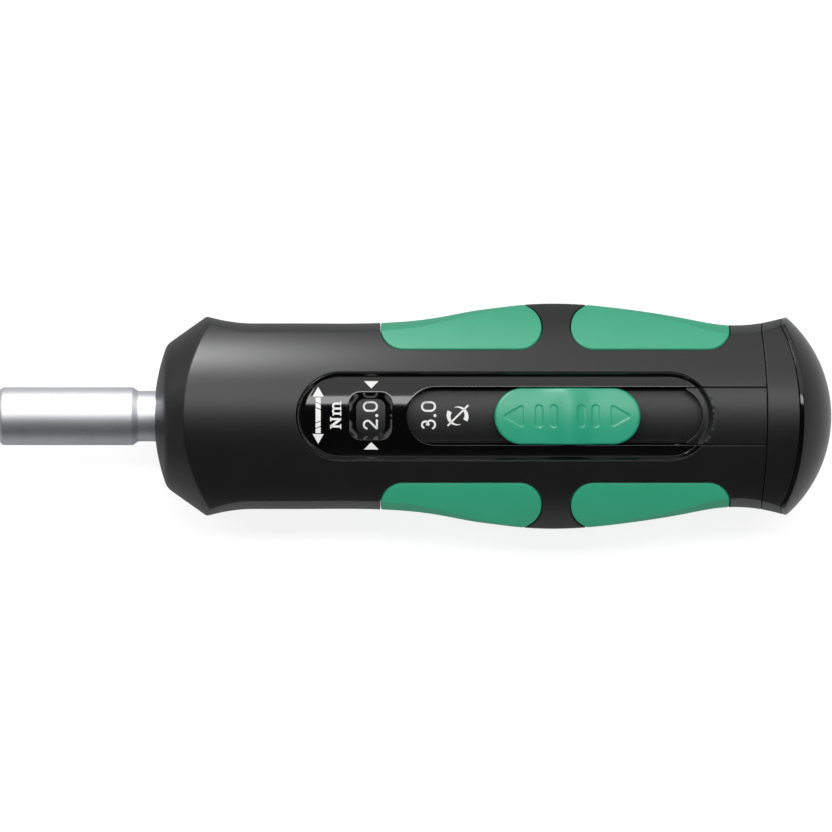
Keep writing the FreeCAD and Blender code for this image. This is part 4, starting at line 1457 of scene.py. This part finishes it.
# --- Spindle --------------------------------------------------------------------------------------------
@dataclass
class Spindle:
    """Turned bit holder with its hexagonal socket, ring groove and neck."""

    across_flats: float = 6.35
    socket_depth: float = 12.0
    magnet_radius: float = 2.9
    magnet_depth: float = 14.5
    groove_x: float = 3.04
    groove_half: float = 0.45
    groove_radius: float = 4.3
    neck_radius: float = 4.285
    neck_front: float = 23.54
    sleeve_rear: float = 22.54
    front_round: float = 0.8
    tail_radius: float = 3.0

    def hexagon(self, angle: Array, across_flats: float) -> Array:
        """Distance from the axis to a hexagon's side: half its width over the cosine from the nearest flat.

        Args:
            angle: angles round the axis.
            across_flats: the hexagon's width.

        Returns:
            The distance at each angle.
        """
        third = math.pi / 3
        away = (angle + third / 2) % third - third / 2
        return across_flats / 2 / np.cos(away)

    def surface(self, tip: float, radius: float) -> Surface:
        """One closed skin: rows round the axis from the tail, over neck and sleeve, into the socket.

        Args:
            tip: x of the front end.
            radius: radius of the sleeve.

        Returns:
            The closed skin.
        """
        angle = np.linspace(0, 2 * math.pi, 145)[:-1]
        corner = self.hexagon(angle, self.across_flats)
        mouth = corner + 0.35
        lead = radius - self.front_round
        turn = np.radians(np.linspace(0, 90, 9))
        rows: list[tuple[float, float | Array]] = [(tip + 50.64, 0.0), (tip + 50.64, self.tail_radius)]
        rows += [(tip + 38.64, self.tail_radius), (tip + 38.64, self.neck_radius)]
        rows += [(x, self.neck_radius) for x in np.linspace(tip + 35.0, tip + self.neck_front + 0.1, 12)]
        rows += [(tip + self.neck_front, self.neck_radius + 0.02)]
        rows += [(tip + self.sleeve_rear + 0.1, radius - 0.03), (tip + self.sleeve_rear, radius)]
        rows += [(x, radius)
                 for x in np.linspace(tip + self.sleeve_rear - 0.2, tip + self.front_round + 0.2, 24)]
        rows += [(tip + self.front_round * (1 - math.sin(a)), lead + self.front_round * math.cos(a))
                 for a in turn]
        rows += [(tip + 0.0, mouth + 0.04), (tip + 0.02, mouth), (tip + 0.33, corner + 0.03),
                 (tip + 0.38, corner)]
        groove = tip + self.groove_x
        rows += [(groove - self.groove_half, corner), (groove - self.groove_half, self.groove_radius),
                 (groove + self.groove_half, self.groove_radius), (groove + self.groove_half, corner)]
        rows += [(tip + self.socket_depth, corner), (tip + self.socket_depth, self.magnet_radius),
                 (tip + self.magnet_depth, self.magnet_radius), (tip + self.magnet_depth, 0.0)]
        x = np.array([row[0] for row in rows])
        r = np.array([np.broadcast_to(row[1], angle.shape) for row in rows])
        x = np.broadcast_to(x[:, None], r.shape)
        points = np.stack([x, r * np.cos(angle), r * np.sin(angle)], axis=-1)
        return sheet(points, True)

    def build(self, workshop: Workshop) -> None:
        """Makes the spindle from the size of its solid.

        Args:
            workshop: what writes the pieces.
        """
        low, high = (np.array(corner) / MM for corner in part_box("output_spindle"))
        workshop.piece("output_spindle_turned", self.surface(low[0], high[1]), TURNED_STEEL.material(),
                       Body.SPINDLE, "satin_steel", ["output_spindle"], crease=30.0)


# --- Mechanism ------------------------------------------------------------------------------------------
@dataclass
class Mechanism:
    """The solids inside the handle, which keep their shapes and get their real finishes."""

    finishes: dict = field(default_factory=lambda: {
        GROUND_STEEL: ("thrust_washer", "spring_seat", "cam_disc", "clutch_ring", "clutch_balls",
                       "shift_sleeve", "shift_pin"),
        SPRING_WIRE: ("outer_spring", "inner_spring", "detent_spring", "bit_retaining_ring",
                      "spindle_circlip"),
        SINTERED_BRONZE: ("front_bush", "preload_nut"),
        NICKEL_PLATING: ("bit_magnet",)})
    hidden: dict = field(default_factory=lambda: {
        MOULDED_NYLON: ("handle_shell", "rear_ring", "channel_filler"),
        SOFT_ELASTOMER: ("grip_front_left", "grip_front_right", "grip_rear_left", "grip_rear_right"),
        POLISHED_ABS: ("scale_insert", "end_cap"), TURNED_STEEL: ("output_spindle",),
        SLIDE_NYLON: ("slider_tongue",), SATIN_ACETAL: ("slider_button",)})

    def dress(self, nodes: dict[str, bpy.types.Object]) -> None:
        """Gives every solid its finish, the replaced ones too.

        Args:
            nodes: the solids' objects by name.
        """
        for finishes in (self.finishes, self.hidden):
            for finish, names in finishes.items():
                material = finish.material()
                for name in names:
                    mesh = nodes[name].data
                    mesh.materials.clear()
                    mesh.materials.append(material)
                    LOG.info("%s: %s", name, finish.name)


@dataclass
class Springs:
    """Both clutch springs, of square wire with their end turns ground flat.

    Each one keeps its length and rides on the handle.
    """

    steps_per_turn: int = 60
    outer: tuple[float, ...] = (-27.0, 3.0, 7.85, 1.7, 6)
    inner: tuple[float, ...] = (-27.0, -1.0, 4.8, 1.3, 8)
    lift: float = 1.0
    switch_travel: float = 14.5

    def coil(self, front: float, rear: float, radius: float, wire: float, turns: float) -> Surface:
        """Square wire carried along a helix from front to rear, cut off level at both ends.

        Args:
            front: x of the front end.
            rear: x of the rear end.
            radius: radius of the wire's middle line.
            wire: side of the square wire.
            turns: number of turns.

        Returns:
            The closed wire.
        """
        share = np.linspace(0.0, 1.0, int(turns * self.steps_per_turn) + 1)[:, None]
        half = wire / 2
        r = radius + half * np.array([-1.0, 1.0, 1.0, -1.0])[None]
        along = front + (rear - front) * share
        x = np.clip(along + half * np.array([-1.0, -1.0, 1.0, 1.0])[None], front, rear)
        turn = 2 * math.pi * turns * share + 0 * r
        points = np.stack([x, r * np.sin(turn), -r * np.cos(turn)], axis=-1)
        tube = sheet(points, True)
        caps = np.array([(0, 1, 2, 3), (3, 2, 1, 0)]) + np.array([[0], [len(tube.points) - 4]])
        return Surface(tube.points, np.vstack([tube.faces, caps]))

    def build(self, workshop: Workshop, wire: bpy.types.Material) -> None:
        """Makes both springs, at their resting length, on the handle.

        Args:
            workshop: what writes the pieces.
            wire: their finish.
        """
        kinds = (("outer", self.outer, "clutch_lift", self.outer[1], self.lift),
                 ("inner", self.inner, "torque_switch", self.inner[0], self.switch_travel))
        for name, sizes, joint, still, travel in kinds:
            piece = workshop.piece(name + "_spring_coil", self.coil(*sizes), wire, Body.HANDLE,
                                   "spring_steel", [name + "_spring"])
            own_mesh(piece)


# --- Studio ---------------------------------------------------------------------------------------------
@dataclass
class Studio:
    """Pale table, soft lamps, pale room and the camera straight above."""

    axis_height: float
    lens: float = 285.6
    camera_above_axis: float = 1.122
    aim: tuple[float, float] = (0.000085, 0.00003)

    def camera(self) -> None:
        """Places the camera above the tool, looking down, with +X to the right."""
        data = bpy.data.cameras.new("camera")
        data.lens, data.sensor_width = self.lens, 36.0
        data.clip_start, data.clip_end = 0.05, 20.0
        made = bpy.data.objects.new("camera", data)
        made.location = (*self.aim, self.axis_height + self.camera_above_axis)
        bpy.context.scene.collection.objects.link(made)
        bpy.context.scene.camera = made

    def lamp(self, name: str, size: Sequence[float], radiance: float, off_zenith: float, distance: float,
             x: float = 0.0, mirrored: bool = True, dull: bool = True) -> None:
        """Adds a soft rectangular lamp, aimed at the tool.

        Args:
            name: its name.
            size: its length along X and its other side, in metres.
            radiance: brightness of its surface.
            off_zenith: how far it leans from straight above towards +Y, in degrees.
            distance: distance from the tool's axis in metres.
            x: its place along X in metres.
            mirrored: whether shine shows it.
            dull: whether it lights the dull part of a colour.
        """
        data = bpy.data.lights.new(name, "AREA")
        data.shape, data.size, data.size_y = "RECTANGLE", size[0], size[1]
        data.energy = radiance * math.pi * size[0] * size[1]
        made = bpy.data.objects.new(name, data)
        lean = math.radians(off_zenith)
        made.location = (x, distance * math.sin(lean), self.axis_height + distance * math.cos(lean))
        made.rotation_euler = (-lean, 0.0, 0.0)
        made.visible_glossy, made.visible_diffuse, made.visible_camera = mirrored, dull, False
        bpy.context.scene.collection.objects.link(made)

    def room(self) -> None:
        """Pale room: white to the camera, and even dull light from all round.

        Reflections see the strongest of a wall on the +Y side, both ends low down, a faint rear and a bright
        horizon; overhead and on the -Y side they see almost nothing.
        """
        world = bpy.data.worlds.new("room")
        bpy.context.scene.world = world
        world.use_nodes = True
        world.node_tree.nodes.clear()
        way = node(world, "ShaderNodeTexCoord").outputs["Generated"]
        parts = node(world, "ShaderNodeSeparateXYZ", None, {0: way}).outputs

        ramps = {  # way, where the ramp starts and ends, and the strength before and after it
            "wall": ("Y", 0.29, 0.36, 0.0, 1.2), "ends": ("Z", 0.1, 0.5, 0.65, 0.0),
            "side": ("Y", -0.6, -0.2, 0.0, 1.0), "rear": ("Y", -0.62, -0.5, 0.08, 0.02),
            "horizon": ("Z", 0.0, 0.03, 1.0, 0.0)}
        glow = {}
        for name, (axis, start, end, first, last) in ramps.items():
            ramp = node(world, "ShaderNodeMapRange", {"interpolation_type": "SMOOTHSTEP"}, {
                "Value": parts[axis], "From Min": start, "From Max": end, "To Min": first, "To Max": last})
            glow[name] = ramp.outputs["Result"]
        mirrored = node(world, "ShaderNodeMath", {"operation": "MULTIPLY"}, {
            0: glow["ends"], 1: glow["side"]})
        for name in ("wall", "rear", "horizon"):
            mirrored = node(world, "ShaderNodeMath", {"operation": "MAXIMUM"}, {
                0: mirrored.outputs[0], 1: glow[name]})
        path = node(world, "ShaderNodeLightPath").outputs
        seen = node(world, "ShaderNodeMath", {"operation": "MAXIMUM"}, {
            0: path["Is Camera Ray"], 1: path["Is Transmission Ray"]})
        strength = node(world, "ShaderNodeMix", None, {
            "Factor": path["Is Glossy Ray"], "A": 0.3, "B": mirrored.outputs[0]})
        final = node(world, "ShaderNodeMix", None, {
            "Factor": seen.outputs[0], "A": strength.outputs["Result"], "B": 1.0})
        back = node(world, "ShaderNodeBackground", None, {
            "Color": (1.0, 1.0, 1.0, 1.0), "Strength": final.outputs["Result"]})
        node(world, "ShaderNodeOutputWorld", None, {"Surface": back.outputs[0]})

    def table(self) -> None:
        """Pale table top under the tool. It keeps the tool's shadow and is white to the camera elsewhere."""
        mesh = bpy.data.meshes.new("table_top")
        reach = 3.0
        corners = [(-reach, -reach, 0), (reach, -reach, 0), (reach, reach, 0), (-reach, reach, 0)]
        mesh.from_pydata(corners, [], [(0, 1, 2, 3)])
        made = bpy.data.objects.new("table_top", mesh)
        bpy.context.scene.collection.objects.link(made)
        paper = bpy.data.materials.new("matt_white_paper")
        paper.use_nodes = True
        paper.node_tree.nodes.clear()
        path = node(paper, "ShaderNodeLightPath").outputs
        seen = node(paper, "ShaderNodeMath", {"operation": "MAXIMUM"}, {
            0: path["Is Camera Ray"], 1: path["Is Transmission Ray"]})
        faint = node(paper, "ShaderNodeMath", {"operation": "MULTIPLY"}, {0: path["Is Glossy Ray"], 1: 0.03})
        glow = node(paper, "ShaderNodeMath", {"operation": "MULTIPLY_ADD"}, {
            0: seen.outputs[0], 1: 0.72, 2: faint.outputs[0]})
        dull = node(paper, "ShaderNodeBsdfDiffuse", None, {"Color": srgb("b4b4b4")})
        light = node(paper, "ShaderNodeEmission", None, {"Strength": glow.outputs[0]})
        both = node(paper, "ShaderNodeAddShader", None, {0: dull.outputs[0], 1: light.outputs[0]})
        node(paper, "ShaderNodeOutputMaterial", None, {"Surface": both.outputs[0]})
        mesh.materials.append(paper)
        made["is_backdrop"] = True

    def build(self) -> None:
        """Sets up camera, table, room and lamps, and the plain view transform."""
        bpy.context.scene.view_settings.view_transform = "Standard"
        self.camera()
        self.table()
        self.room()
        self.lamp("strip_overhead", (1.75, 0.166), 8.0, 15.4, 1.25)
        self.lamp("near_softbox", (0.045, 0.05), 22.0, 56.4, 0.135, x=-0.053, dull=False)
        self.lamp("soft_side", (1.0, 0.8), 2.5, 60.0, 1.2, mirrored=False)
        self.lamp("low_fill", (1.0, 0.8), 1.9, -50.0, 1.2, mirrored=False)


def main() -> None:
    logging.basicConfig(level=logging.INFO, format="%(message)s")
    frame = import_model()
    solid_box = [list(corner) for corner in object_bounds()]
    low, high = (np.array(corner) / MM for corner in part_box("output_spindle"))
    axis_height = float(low[2] + high[2]) / 2
    Studio(axis_height * MM).build()
    Mechanism().dress(frame["nodes"])
    form = HandleForm(face_height=axis_height, end_x=solid_box[1][0] / MM)
    workshop = Workshop(axis_height)
    insert = ScaleInsert(form)
    Handle(form).build(workshop, insert.span, insert.half_width)
    insert.build(workshop)
    ink = PRINTED_INK.material()
    on_plate = Print(lambda flat: form.face(flat[:, 1], 0.93))
    films = on_plate.unit_name((-13.4, 0.12)) + on_plate.setting_arrow((-16.35, 0.15))
    for side in (1.0, -1.0):
        pointer = [(-8.65, 0.15 + side * 5.75), (-6.2, 0.15 + side * 5.75), (-7.43, 0.15 + side * 4.5)]
        films.append(on_plate.shape(np.array(pointer)))
    on_plate.write(workshop, "printed_scale", films, ink, Body.HANDLE, "gloss_black")
    TorqueSwitch(form).build(workshop, ink)
    Spindle().build(workshop)
    Springs().build(workshop, SPRING_WIRE.material())


if __name__ == "__main__":
    main()
